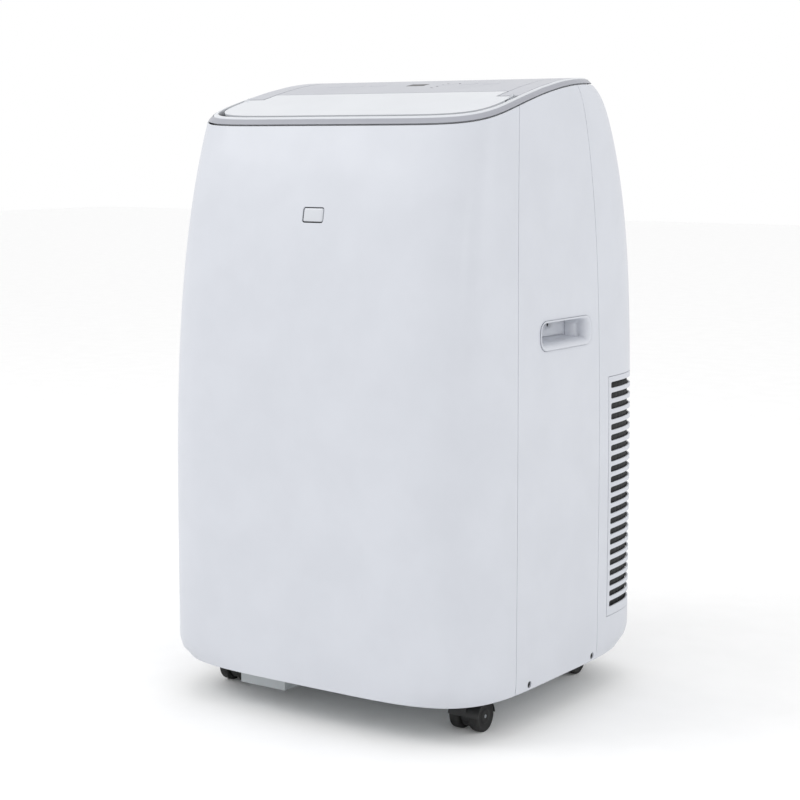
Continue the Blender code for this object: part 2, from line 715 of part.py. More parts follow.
def make_caster_fork(corner, x, y, wheel_y):
    """Swivel stem, top plate and the web that carries the axle between the twin wheels."""
    name = "caster_fork_" + corner
    plate_low = 2 * WHEEL_RADIUS + 1.0
    fork = block(name, (x - 17, y - 9, plate_low), (x + 17, wheel_y + 14, PAN_BOTTOM - 0.6),
                 (BLACK, 0.5, 0.0), 6.0, 2)
    combine(fork, drum_cutter(name + "_stem", (x, y, plate_low + 11), STEM_RADIUS, 20, "Z", 16),
            "UNION")
    combine(fork, drum_cutter(name + "_web", (x, wheel_y, WHEEL_RADIUS), 14.0, 9.6, "X", ROUND),
            "UNION")
    neck = block_cutter(name + "_neck", (x - 4.2, y - 6, WHEEL_RADIUS + 4),
                        (x + 4.2, wheel_y + 6, plate_low + 1))
    combine(fork, neck, "UNION")
    bore = drum_cutter(name + "_bore", (x, wheel_y, WHEEL_RADIUS), 5.8, 30, "X", 16)
    combine(fork, bore)
    origin = Vector((x, y, PAN_BOTTOM))
    move_origin(fork, origin)


# ---------------------------------------------------------------- air and cooling system

def make_scroll(name, centre_z, radius, tower_half, top_z, front_y, rear_y):
    """Scroll housing: a drum with a tower on it, hollowed with one wall thickness."""
    middle_y = (front_y + rear_y) / 2
    depth = rear_y - front_y
    wall = 2.5
    piece = drum(name, (0, middle_y, centre_z), radius, depth, (BLACK, 0.6, 0.0), "Y", 32)
    combine(piece, block_cutter(name + "_tower", (-tower_half, front_y + CLEARANCE, centre_z),
                                (tower_half, rear_y - CLEARANCE, top_z)), "UNION")
    combine(piece, drum_cutter(name + "_hollow", (0, middle_y, centre_z), radius - wall,
                               depth - 2 * wall, "Y", 32))
    combine(piece, block_cutter(name + "_channel",
                                (wall - tower_half, front_y + wall + CLEARANCE, centre_z),
                                (tower_half - wall, rear_y - wall - CLEARANCE, top_z - wall)))
    return combine(piece, drum_cutter(name + "_inlet", (0, rear_y, centre_z), radius * 0.6,
                                      12, "Y", ROUND))


def make_blower(level, centre_z, front_y, rear_y, radius):
    """Squirrel-cage wheel and the motor in front of its housing."""
    depth = rear_y - front_y - 14
    turned("blower_wheel_" + level,
           [(radius, depth / 2), (radius, -depth / 2), (8.0, -depth / 2), (8.0, 3 - depth / 2),
            (radius - 12, 3 - depth / 2), (radius - 12, depth / 2)],
           (0, (front_y + rear_y) / 2, centre_z), (BLACK, 0.5, 0.0), "Y", ROUND)
    motor_front = front_y - 32
    turned("blower_motor_" + level,
           [(0.0, 44.0), (7.6, 44.0), (7.6, 30.5), (38.0, 30.5), (40.0, 28.5), (40.0, 2.0),
            (38.0, 0.0), (0.0, 0.0)],
           (0, motor_front, centre_z), (STEEL, 0.4, 1.0), "Y", ROUND)


def make_blowers():
    upper = make_scroll("blower_housing_upper", UPPER_BLOWER_Z, 97.0, 90.0, DUCT_BOTTOM - 1,
                        BLOWER_FRONT_Y, BLOWER_REAR_Y)
    combine(upper, block_cutter("upper_mouth", (-86, BLOWER_FRONT_Y + 4, DUCT_BOTTOM - 20),
                                (86, BLOWER_REAR_Y - 4, DUCT_BOTTOM + 20)))
    lower = make_scroll("blower_housing_lower", LOWER_BLOWER_Z, 105.0, 92.0, 541.0, 62.0, 150.0)
    combine(lower, drum_cutter("lower_mouth", (0, 150, EXHAUST_Z), 66.0, 12, "Y", 32))
    for piece, y, z in ((upper, BLOWER_FRONT_Y, UPPER_BLOWER_Z), (lower, 62.0, LOWER_BLOWER_Z)):
        combine(piece, drum_cutter(piece.name + "_shaft_hole", (0, y, z), 12.0, 12, "Y", 16))
    make_blower("upper", UPPER_BLOWER_Z, BLOWER_FRONT_Y, BLOWER_REAR_Y, WHEEL_OUTER)
    make_blower("lower", LOWER_BLOWER_Z, 62.0, 150.0, WHEEL_OUTER)


def make_cooling_system():
    turned("compressor",
           [(0.0, 245.0), (20.0, 243.0), (46.0, 232.0), (56.0, 212.0), (56.0, 34.0),
            (48.0, 14.0), (48.0, 0.0), (0.0, 0.0)],
           (95, -100, PAN_BOTTOM + 3.5), (BLACK, 0.4, 0.0))
    turned("accumulator",
           [(0.0, 140.0), (12.0, 136.0), (20.0, 122.0), (20.0, 16.0), (12.0, 3.0), (0.0, 0.0)],
           (165, -15, 90), (BLACK, 0.4, 0.0), "Z", 16)
    block("condenser_coil", (-148, 158, 50), (148, 184, 372), (ALUMINIUM, 0.4, 1.0))
    block("evaporator_coil", (-160, 112, 546), (160, 138, 688), (ALUMINIUM, 0.4, 1.0))
    tray = block("drip_tray", (-172, 104, 543), (172, 146, 556), (GREY, 0.5, 0.0))
    combine(tray, block_cutter("tray_hollow", (-170, 106, 545), (170, 144, 570)))
    make_refrigerant_pipe()
    block("control_box", (-182, -150, 180), (-80, -90, 400), (PALE_GREY, 0.5, 0.0), 2.0)
    block("filter_lower", (-160, 196, 92), (160, 199, 376), (GREY, 0.7, 0.0))
    block("filter_upper", (-158, 148, 560), (158, 151, 684), (GREY, 0.7, 0.0))


PIPE_ROUTE = ((95, -100, 292), (95, -100, 318), (100, -96, 330), (112, -84, 336),
              (135, -30, 338), (150, 60, 338), (155, 110, 336), (157, 140, 330), (157, 156, 322))


def make_refrigerant_pipe():
    curve = bpy.data.curves.new("refrigerant_pipe", "CURVE")
    curve.dimensions = "3D"
    curve.bevel_depth = 4.0 * MM
    curve.bevel_resolution = 2
    curve.use_fill_caps = True
    spline = curve.splines.new("POLY")
    spline.points.add(len(PIPE_ROUTE) - 1)
    for point, place in zip(spline.points, PIPE_ROUTE):
        point.co = (*(Vector(place) * MM), 1.0)
    pipe = bpy.data.objects.new("refrigerant_pipe", curve)
    curve.materials.append(material("refrigerant_pipe_finish", COPPER, 0.3, 1.0))
    parts.objects.link(pipe)


def make_partition_tray():
    """Shelf under the upper blower, cut away behind for the lower blower's tower."""
    shelf = block("partition_tray", (-174, -165, 428), (174, 58, 438), (GREY, 0.6, 0.0), 20.0, 2)
    return combine(shelf, block_cutter("shelf_hollow", (-170, -161, 431), (170, 54, 460),
                                       17.0, 2))


def make_rear_fittings():
    turned("exhaust_collar",
           [(70.0, 28.0), (70.0, -8.0), (80.0, -8.0), (80.0, -11.0), (70.0, -11.0),
            (70.0, -28.0), (66.0, -28.0), (66.0, 28.0)],
           (0, 180.5, EXHAUST_Z), (WHITE, 0.4, 0.0), "Y", 32)
    turned("drain_plug",
           [(0.0, 4.0), (8.6, 4.0), (8.6, -9.0), (6.0, -11.0), (0.0, -11.0)],
           (0, 206.5, DRAIN_Z), (GREY, 0.6, 0.0), "Y", 16)
    turned("cord_gland",
           [(GLAND_RADIUS - CLEARANCE, 10.0), (GLAND_RADIUS - CLEARANCE, -10.0),
            (4.5, -10.0), (4.5, 10.0)],
           (GLAND_X, 197.0, DRAIN_Z), (BLACK, 0.6, 0.0), "Y", 16)


def make_receiver_window():
    front_y = outline_point(-math.pi / 2, 574.0)[1]
    block("receiver_window", (-14.2, front_y + 0.6, 565.8), (14.2, front_y + 3.2, 582.2),
          (WHITE, 0.15, 0.0), 2.6, 1)


def make_flap_motor():
    block("flap_motor", (153, -100, 645), (175, -72, 672), (STEEL, 0.4, 1.0), 2.0)


def build():
    make_front_cover()
    make_side_panels()
    make_handle_cups()
    make_rear_housing()
    make_rear_grilles()
    make_trim_ring()
    make_top_cover()
    make_flap()
    make_control_panel()
    make_louvre_duct()
    make_vanes()
    make_base_pan()
    make_casters()
    make_blowers()
    make_cooling_system()
    make_partition_tray()
    make_rear_fittings()
    make_receiver_window()
    make_flap_motor()


build()
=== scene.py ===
"""Looks of a portable air conditioner, built round its packed assembly.

Sizes are in millimetres in the object's own frame: +Z up, the front faces -Y, the origin is on
the floor under the middle of the case. Each sub-assembly is a class that builds its meshes and
dresses them, and every new piece is a surface worked out with numpy.
"""
import logging
from collections.abc import Callable, Sequence
from dataclasses import dataclass, field
from enum import Enum

import bmesh
import bpy
import numpy as np
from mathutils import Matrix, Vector


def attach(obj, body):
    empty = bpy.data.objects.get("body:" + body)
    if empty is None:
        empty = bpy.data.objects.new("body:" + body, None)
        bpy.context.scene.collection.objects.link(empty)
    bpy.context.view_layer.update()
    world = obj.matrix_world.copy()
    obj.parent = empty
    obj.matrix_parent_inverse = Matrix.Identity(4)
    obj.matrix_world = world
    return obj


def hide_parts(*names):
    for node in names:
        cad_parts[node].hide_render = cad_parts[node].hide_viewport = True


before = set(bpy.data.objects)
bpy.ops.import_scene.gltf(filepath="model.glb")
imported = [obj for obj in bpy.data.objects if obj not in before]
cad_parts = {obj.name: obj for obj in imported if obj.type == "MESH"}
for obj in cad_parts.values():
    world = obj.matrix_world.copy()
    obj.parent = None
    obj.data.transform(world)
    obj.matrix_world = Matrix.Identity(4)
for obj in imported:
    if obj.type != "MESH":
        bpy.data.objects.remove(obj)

Array = np.ndarray
MM = 0.001
ROOT = "root"
log = logging.getLogger("air_conditioner")

# Turns a plan curve on the right into the same curve on the left.
MIRROR = np.array([-1.0, 1.0])
# Points closer than this are one point, and edges shorter than the second are dropped.
WELD_MM, SLIVER_MM = 0.02, 0.002
# Grid lines keep this many decimals, and plain ones stay this share of a cell from the others.
LINE_DIGITS, LINE_ROOM = 4, 0.4


# ---------------------------------------------------------------- finishes

# Fractal detail of the colour's drift, the roughness's drift and the grain.
COLOUR_DETAIL, ROUGHNESS_DETAIL, GRAIN_DETAIL = 3.0, 4.0, 2.0
# The middle stretch of each noise that carries the whole drift.
COLOUR_SPAN, ROUGHNESS_SPAN = (0.35, 0.65), (0.3, 0.7)
# Roughness drifts in wider patches than colour, by one over this.
ROUGHNESS_SCALE = 0.6
GRAIN_STRENGTH = 0.5
# A band of the wave texture is this long at scale 1, in metres.
BAND_LENGTH = 2 * np.pi / 20
BAND_STRENGTH, BAND_DEPTH = 0.6, 0.2 * MM
# Bands fall towards this near black, keeping at least this share of their tone: painted shade in the
# gaps between fins and between threads, and the real darker tone of brushed streaks.
GAP_SHADE_AND_STREAK_LOW, GAP_SHADE_AND_STREAK_COLOUR = 0.45, "0D0D0D"
BRUSH_STRETCH, BRUSH_SCALE = (1.0, 1.0, 30.0), 0.3


def linear(hex_colour: str) -> tuple[float, float, float, float]:
    """Turn an sRGB hex colour into linear RGBA.

    Args:
        hex_colour: six hex digits.

    Returns:
        The linear colour with alpha 1.
    """
    values = np.array([int(hex_colour[i:i + 2], 16) for i in (0, 2, 4)]) / 255
    low, high = values / 12.92, ((values + 0.055) / 1.055) ** 2.4
    return (*np.where(values <= 0.04045, low, high).tolist(), 1.0)


def add_node(tree: bpy.types.NodeTree, kind: str, inputs: dict | None = None,
             **settings: object) -> bpy.types.Node:
    """Add a node, set its properties and fill or link its inputs.

    Args:
        tree: the node tree.
        kind: the node's Blender type.
        inputs: value or output socket for each input, by its name or number.
        **settings: properties of the node.

    Returns:
        The new node.
    """
    node = tree.nodes.new(kind)
    for key, value in settings.items():
        setattr(node, key, value)
    for key, value in (inputs or {}).items():
        if isinstance(value, bpy.types.NodeSocket):
            tree.links.new(value, node.inputs[key])
        else:
            node.inputs[key].default_value = value
    return node


class Pattern(Enum):
    """What is worked into a surface besides its grain."""

    NONE = "none"
    WEAVE = "weave"
    FINS = "fins"
    BRUSHED = "brushed"


@dataclass(frozen=True)
class Finish:
    """A real material and how its surface was made.

    The colour drifts slightly between two tones, the roughness drifts around its value, and a
    fine grain of the given size lifts the surface by the given depth.
    """

    name: str
    colour: str
    second_colour: str
    roughness: float
    metallic: float = 0.0
    ior: float = 1.5
    coat: float = 0.0
    coat_roughness: float = 0.08
    grain_mm: float = 0.9
    grain_depth_mm: float = 0.02
    drift_mm: float = 60.0
    roughness_drift: float = 0.05
    pattern: Pattern = Pattern.NONE
    pattern_mm: float = 3.0

    def material(self) -> bpy.types.Material:
        """Build the material, or return the one already built.

        Returns:
            The finish as a node material.
        """
        if self.name in bpy.data.materials:
            return bpy.data.materials[self.name]
        made = bpy.data.materials.new(self.name)
        made.use_nodes = True
        tree = made.node_tree
        shader = tree.nodes["Principled BSDF"]
        where = add_node(tree, "ShaderNodeTexCoord").outputs["Object"]
        tone = self._drift(tree, where)
        bump = self._grain(tree, where)
        if self.pattern is not Pattern.NONE:
            tone, bump = self._patterned(tree, where, tone, bump)
        tree.links.new(tone, shader.inputs["Base Color"])
        tree.links.new(bump, shader.inputs["Normal"])
        tree.links.new(self._roughness(tree, where), shader.inputs["Roughness"])
        shader.inputs["Metallic"].default_value = self.metallic
        if not self.metallic:
            shader.inputs["IOR"].default_value = self.ior
        shader.inputs["Coat Weight"].default_value = self.coat
        shader.inputs["Coat Roughness"].default_value = self.coat_roughness
        made.diffuse_color = linear(self.colour)
        return made

    def _drift(self, tree: bpy.types.NodeTree, where: bpy.types.NodeSocket) -> bpy.types.NodeSocket:
        """Colour that wanders between the two tones over some centimetres.

        Args:
            tree: the material's nodes.
            where: the object coordinates.

        Returns:
            The colour.
        """
        noise = add_node(tree, "ShaderNodeTexNoise",
                         {"Vector": where, "Scale": 1 / (self.drift_mm * MM),
                          "Detail": COLOUR_DETAIL})
        ramp = add_node(tree, "ShaderNodeMapRange",
                        {"Value": noise.outputs["Fac"], "From Min": COLOUR_SPAN[0],
                         "From Max": COLOUR_SPAN[1]})
        mix = add_node(tree, "ShaderNodeMix",
                       {0: ramp.outputs["Result"], 6: linear(self.colour),
                        7: linear(self.second_colour)}, data_type="RGBA")
        return mix.outputs[2]

    def _roughness(self, tree: bpy.types.NodeTree,
                   where: bpy.types.NodeSocket) -> bpy.types.NodeSocket:
        """Roughness that drifts a little around its value, as handling leaves it.

        Args:
            tree: the material's nodes.
            where: the object coordinates.

        Returns:
            The roughness.
        """
        noise = add_node(tree, "ShaderNodeTexNoise",
                         {"Vector": where, "Scale": ROUGHNESS_SCALE / (self.drift_mm * MM),
                          "Detail": ROUGHNESS_DETAIL})
        drift = add_node(tree, "ShaderNodeMapRange",
                         {"Value": noise.outputs["Fac"], "From Min": ROUGHNESS_SPAN[0],
                          "From Max": ROUGHNESS_SPAN[1],
                          "To Min": self.roughness - self.roughness_drift,
                          "To Max": self.roughness + self.roughness_drift})
        return drift.outputs["Result"]

    def _grain(self, tree: bpy.types.NodeTree, where: bpy.types.NodeSocket) -> bpy.types.NodeSocket:
        """Normal of the fine grain that the tool leaves on the surface.

        Args:
            tree: the material's nodes.
            where: the object coordinates.

        Returns:
            The normal.
        """
        grain = add_node(tree, "ShaderNodeTexNoise",
                         {"Vector": where, "Scale": 1 / (self.grain_mm * MM),
                          "Detail": GRAIN_DETAIL})
        bump = add_node(tree, "ShaderNodeBump",
                        {"Height": grain.outputs["Fac"], "Strength": GRAIN_STRENGTH,
                         "Distance": self.grain_depth_mm * MM})
        return bump.outputs["Normal"]

    def _patterned(self, tree: bpy.types.NodeTree, where: bpy.types.NodeSocket,
                   tone: bpy.types.NodeSocket, grain: bpy.types.NodeSocket
                   ) -> tuple[bpy.types.NodeSocket, bpy.types.NodeSocket]:
        """Bands, crossed bands or streaks laid over the tone and the grain; the fin and weave
        hollows are painted dark as shade, and the brushed streaks darken as their own tone.

        Args:
            tree: the material's nodes.
            where: the object coordinates.
            tone: the plain colour.
            grain: the normal of the plain grain.

        Returns:
            The patterned colour and normal.
        """
        scale = BAND_LENGTH / (self.pattern_mm * MM)
        bands = add_node(tree, "ShaderNodeTexWave", {"Vector": where, "Scale": scale},
                         bands_direction="X").outputs["Fac"]
        if self.pattern is Pattern.WEAVE:
            cross = add_node(tree, "ShaderNodeTexWave", {"Vector": where, "Scale": scale},
                             bands_direction="Z")
            bands = add_node(tree, "ShaderNodeMath", {0: bands, 1: cross.outputs["Fac"]},
                             operation="MAXIMUM").outputs[0]
        if self.pattern is Pattern.BRUSHED:
            stretched = add_node(tree, "ShaderNodeMapping",
                                 {"Vector": where, "Scale": BRUSH_STRETCH})
            bands = add_node(tree, "ShaderNodeTexNoise",
                             {"Vector": stretched.outputs[0],
                              "Scale": BRUSH_SCALE / (self.pattern_mm * MM)}).outputs["Fac"]
        # Painted shade in the hollows of the fins and the weave; on brushed steel, the streaks' own
        # darker tone.
        shade = add_node(tree, "ShaderNodeMapRange",
                         {"Value": bands, "To Min": GAP_SHADE_AND_STREAK_LOW, "To Max": 1.0}).outputs["Result"]
        dark = add_node(tree, "ShaderNodeMix",
                        {0: shade, 6: linear(GAP_SHADE_AND_STREAK_COLOUR), 7: tone}, data_type="RGBA")
        bump = add_node(tree, "ShaderNodeBump",
                        {"Height": bands, "Strength": BAND_STRENGTH, "Distance": BAND_DEPTH,
                         "Normal": grain})
        return dark.outputs[2], bump.outputs["Normal"]


# Spark-eroded ABS: an even satin white whose faint grain blurs every reflection.
SHELL_ABS = Finish("moulded_abs_shell", "C9CCD3", "C6C9D0", 0.42, grain_mm=0.9,
                   grain_depth_mm=0.010, coat=0.08)
# The rear mouldings come from another tool, a shade greyer and duller.
GRILLE_ABS = Finish("moulded_abs_grille", "C8CBD2", "C5C8CF", 0.48, grain_depth_mm=0.015)
# Polished-tool ABS on the flap: brighter, with a clearer sheen.
FLAP_ABS = Finish("moulded_abs_flap", "D3D6DB", "D0D3D8", 0.34, coat=0.12, grain_depth_mm=0.006)
# Light grey ABS round the controls, satin.
DECK_ABS = Finish("moulded_abs_deck", "B9BBC2", "B6B8BF", 0.42, grain_depth_mm=0.012)
# Mid-grey painted band round the top: fine metallic-looking satin.
TRIM_PAINT = Finish("painted_abs_trim", "A0A2AA", "9C9EA6", 0.36, grain_depth_mm=0.006,
                    grain_mm=0.5)
# Smoked acrylic over the display: black, with an anti-glare coating that mutes its glint.
SMOKED_ACRYLIC = Finish("smoked_acrylic", "0B0C0E", "08090B", 0.30, ior=1.22,
                        grain_depth_mm=0.001, roughness_drift=0.02)
# Milky infrared-clear polycarbonate of the receiver.
MILKY_WINDOW = Finish("milky_polycarbonate", "C6C9CF", "C3C6CC", 0.34, ior=1.58, coat=0.3,
                      grain_depth_mm=0.003)
# Pale polypropylene pan: slightly waxy and mottled.
PAN_POLYPROPYLENE = Finish("moulded_polypropylene_pan", "B4B9BC", "ACB1B4", 0.55, ior=1.49,
                           grain_depth_mm=0.02)
# Black nylon casters, scuffed to a dull grey sheen. The screw heads in the side panels take it
# too, their black painted shade for the dark of their holes.
BLACK_NYLON = Finish("moulded_nylon_black", "0A0B0C", "101113", 0.45, ior=1.53,
                     grain_depth_mm=0.02, drift_mm=14.0)
# Soft black tread that has picked up dust.
TREAD_RUBBER = Finish("tread_rubber", "0D0D0E", "141413", 0.72, ior=1.52, grain_mm=0.6,
                      grain_depth_mm=0.04, drift_mm=9.0)
# Grey silicone rubber of the drain plug.
GREY_RUBBER = Finish("silicone_rubber_grey", "8D9095", "85888D", 0.62, ior=1.43, drift_mm=12.0)
# Zinc-plated steel: bright with a faint brushed streak.
ZINC_STEEL = Finish("zinc_plated_steel", "B9BDC2", "A9ADB3", 0.32, metallic=1.0, drift_mm=10.0,
                    pattern=Pattern.BRUSHED, pattern_mm=1.2)
# Black enamelled steel of the compressor can.
BLACK_ENAMEL = Finish("black_enamelled_steel", "17181A", "101113", 0.28, coat=0.4, drift_mm=40.0)
# Stacked aluminium fins; the real 1.6 mm spacing is drawn at 3 mm so that it shows. The gaps
# between the fins are painted near black as shade.
FINNED_ALUMINIUM = Finish("finned_aluminium", "A4A8AC", "8F9397", 0.42, metallic=1.0,
                          pattern=Pattern.FINS, pattern_mm=3.0)
# Nylon filter net, near black: partly its own dark colour and partly painted shade for the dark
# inside of the case behind the grille slots. Its 1 mm mesh is drawn at 2.6 mm so that it shows.
FILTER_NET_AND_PAINTED_SHADE = Finish("woven_nylon_net", "1D1F22", "16181A", 0.7, pattern=Pattern.WEAVE,
                    pattern_mm=2.6)
# Tarnished copper tube.
COPPER = Finish("drawn_copper", "B4704C", "8E5238", 0.34, metallic=1.0, drift_mm=18.0)
# Grey tray plastic inside the case, with a coarser grain.
TRAY_PLASTIC = Finish("moulded_tray_plastic", "8F9498", "878C90", 0.6, grain_mm=1.6)
# Black glass-filled duct.
DUCT_PLASTIC = Finish("moulded_duct_black", "1D1F22", "25272A", 0.55, grain_depth_mm=0.03)

FINISH_OF_SLOT = {
    "pan_grey": PAN_POLYPROPYLENE, "tray_grey": TRAY_PLASTIC, "duct_black": DUCT_PLASTIC,
    "compressor_black": BLACK_ENAMEL, "coil_aluminium": FINNED_ALUMINIUM, "pipe_copper": COPPER,
    "motor_steel": ZINC_STEEL, "box_grey": TRAY_PLASTIC, "filter_mesh": FILTER_NET_AND_PAINTED_SHADE,
    "caster_black": BLACK_NYLON, "wheel_black": TREAD_RUBBER, "axle_steel": ZINC_STEEL,
    "button_white": DECK_ABS, "shell_white": SHELL_ABS, "grille_white": GRILLE_ABS,
    "flap_white": FLAP_ABS, "deck_grey": DECK_ABS, "trim_grey": TRIM_PAINT,
    "lens_black": SMOKED_ACRYLIC, "window_white": MILKY_WINDOW, "rubber_grey": GREY_RUBBER,
    "gland_black": BLACK_NYLON,
}


# ---------------------------------------------------------------- meshes

@dataclass
class Surface:
    """Points in millimetres and the faces between them, gathered patch by patch."""

    points: list[Array] = field(default_factory=list)
    faces: list[Array] = field(default_factory=list)
    count: int = 0

    def add(self, points: Array, faces: Array) -> int:
        """Append a patch whose faces count from its own first point.

        Args:
            points: array whose last axis is x, y, z.
            faces: integer array of three or four columns.

        Returns:
            The number of the patch's first point.
        """
        start = self.count
        flat = np.asarray(points, float).reshape(-1, 3)
        self.points.append(flat)
        self.faces.append(np.asarray(faces, int) + start)
        self.count += len(flat)
        return start

    def link(self, faces: Array) -> None:
        """Append faces between points that are already there."""
        self.faces.append(np.asarray(faces, int))

    def mesh(self, name: str) -> bpy.types.Mesh:
        """Make the mesh in metres, with points that coincide merged.

        Args:
            name: the mesh's name.

        Returns:
            The new mesh, smooth shaded.
        """
        mesh = bpy.data.meshes.new(name)
        faces = [face for patch in self.faces for face in patch.tolist()]
        mesh.from_pydata((np.concatenate(self.points) * MM).tolist(), [], faces)
        bm = bmesh.new()
        bm.from_mesh(mesh)
        bmesh.ops.remove_doubles(bm, verts=bm.verts, dist=WELD_MM * MM)
        bmesh.ops.dissolve_degenerate(bm, edges=bm.edges, dist=SLIVER_MM * MM)
        bm.to_mesh(mesh)
        bm.free()
        mesh.shade_smooth()
        return mesh


def grid_faces(columns: int, rows: int, around: bool = False, keep: Array | None = None) -> Array:
    """Quads of a grid whose points are numbered column by column.

    Args:
        columns: number of columns of points.
        rows: number of points in a column.
        around: whether the last column joins the first.
        keep: which cells exist, or None for all.

    Returns:
        One row of four point numbers per cell.
    """
    i, j = np.meshgrid(np.arange(columns if around else columns - 1), np.arange(rows - 1),
                       indexing="ij")
    following = (i + 1) % columns
    quads = np.stack([i * rows + j, following * rows + j, following * rows + j + 1,
                      i * rows + j + 1], axis=-1)
    return quads.reshape(-1, 4) if keep is None else quads[keep]


class Side(Enum):
    """Which way a sheet's faces have to look."""

    OUT = "out"
    UP = "up"
    AS_MADE = "as_made"
    CLOSED = "closed"


@dataclass(frozen=True)
class Build:
    """How a surface becomes a finished piece: its wall, its rounded edges and its facing."""

    wall: float = 0.0
    edge: float = 0.5
    segments: int = 2
    side: Side = Side.CLOSED
    body: str = ROOT
    edge_angle: float = 38.0

    def piece(self, name: str, surface: Surface, slot: str, *nodes: str,
              finish: Finish | None = None) -> bpy.types.Object:
        """Make the object, its modifiers and its finish, and hide the CAD nodes it stands for.

        Args:
            name: the piece's name.
            surface: its points and faces.
            slot: the record's material slot whose finish it takes when no finish is given.
            *nodes: the CAD nodes it stands for.
            finish: its finish, or None for the slot's own.

        Returns:
            The finished object.
        """
        mesh = surface.mesh(name)
        self._face(mesh)
        piece = bpy.data.objects.new(name, mesh)
        bpy.context.scene.collection.objects.link(piece)
        mesh.materials.append((finish or FINISH_OF_SLOT[slot]).material())
        if self.wall:
            solid = piece.modifiers.new("wall", "SOLIDIFY")
            solid.thickness = self.wall * MM
            solid.offset = -1.0
            solid.use_quality_normals = True
        if self.edge:
            bevel = piece.modifiers.new("edge", "BEVEL")
            bevel.width = self.edge * MM
            bevel.segments = self.segments
            bevel.limit_method = "ANGLE"
            bevel.angle_limit = np.radians(self.edge_angle)
            bevel.harden_normals = True
        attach(piece, self.body)
        if nodes:
            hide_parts(*nodes)
        log.info("%s: %d faces", name, len(mesh.polygons))
        return piece

    def _face(self, mesh: bpy.types.Mesh) -> None:
        """Turn the faces the way that the piece needs.

        Args:
            mesh: the piece's mesh, before its modifiers.
        """
        if self.side is Side.AS_MADE:
            return
        bm = bmesh.new()
        bm.from_mesh(mesh)
        if self.side is Side.CLOSED:
            bmesh.ops.recalc_face_normals(bm, faces=bm.faces)
        elif self._looks_wrong(mesh):
            bmesh.ops.reverse_faces(bm, faces=bm.faces)
        bm.to_mesh(mesh)
        bm.free()

    def _looks_wrong(self, mesh: bpy.types.Mesh) -> bool:
        """Whether a sheet faces down or inwards: its normals along the wish, summed by area.

        Args:
            mesh: the sheet.

        Returns:
            True if the sum is negative.
        """
        count = len(mesh.polygons)
        normal, middle, area = np.empty(3 * count), np.empty(3 * count), np.empty(count)
        mesh.polygons.foreach_get("normal", normal)
        mesh.polygons.foreach_get("center", middle)
        mesh.polygons.foreach_get("area", area)
        wish = np.array([[0.0, 0.0, 1.0]])
        if self.side is Side.OUT:
            wish = middle.reshape(-1, 3) * (1.0, 1.0, 0.0)
            wish = wish / np.linalg.norm(wish, axis=-1, keepdims=True)
        return float(area @ (normal.reshape(-1, 3) * wish).sum(-1)) < 0


# A closed surface that needs neither a wall nor rounded edges.
WHOLE = Build(0.0, 0.0)


def turned(profile: Array, centre: tuple[float, float, float], axis: str = "Z",
           segments: int = 48, ripple: Array | None = None) -> Surface:
    """A profile carried once round an axis.

    A point at (radius, along) goes to centre + along * axis + radius * (cos, sin) of the turn.

    Args:
        profile: rows of radius and distance along the axis; radius 0 makes a closed pole.
        centre: the middle, in millimetres.
        axis: "X", "Y" or "Z".
        segments: steps round the axis.
        ripple: factor on the radius for each step and profile point, or None.

    Returns:
        The closed surface.
    """
    turn = np.linspace(0, 2 * np.pi, segments, endpoint=False)
    radius = np.broadcast_to(profile[:, 0], (segments, len(profile)))
    if ripple is not None:
        radius = radius * ripple
    along = np.broadcast_to(profile[:, 1], radius.shape)
    first, second = radius * np.cos(turn)[:, None], radius * np.sin(turn)[:, None]
    order = {"Z": (first, second, along), "X": (along, first, second),
             "Y": (second, along, first)}[axis]
    surface = Surface()
    surface.add(np.stack(order, axis=-1) + np.array(centre),
                grid_faces(segments, len(profile), around=True))
    return surface


def rounded_profile(corners: Sequence[tuple[float, float]], radius: float,
                    steps: int = 3) -> Array:
    """An outline whose inner corners are replaced by short quadratic bends.

    At each corner B between A and C the bend runs from B+(A-B)r/|A-B| to B+(C-B)r/|C-B| with B
    as its control point.

    Args:
        corners: the outline's corners.
        radius: how far along each side the bend starts.
        steps: points per bend, less one.

    Returns:
        The outline's points.
    """
    points = np.array(corners, float)
    share = np.linspace(0, 1, steps + 1)[:, None]
    parts = [points[:1]]
    for before, corner, after in zip(points, points[1:], points[2:]):
        back, on = before - corner, after - corner
        start = corner + back * min(radius / np.linalg.norm(back), 0.5)
        end = corner + on * min(radius / np.linalg.norm(on), 0.5)
        parts.append((1 - share) ** 2 * start + 2 * share * (1 - share) * corner + share ** 2 * end)
    return np.concatenate(parts + [points[-1:]])


# ---------------------------------------------------------------- form of the case

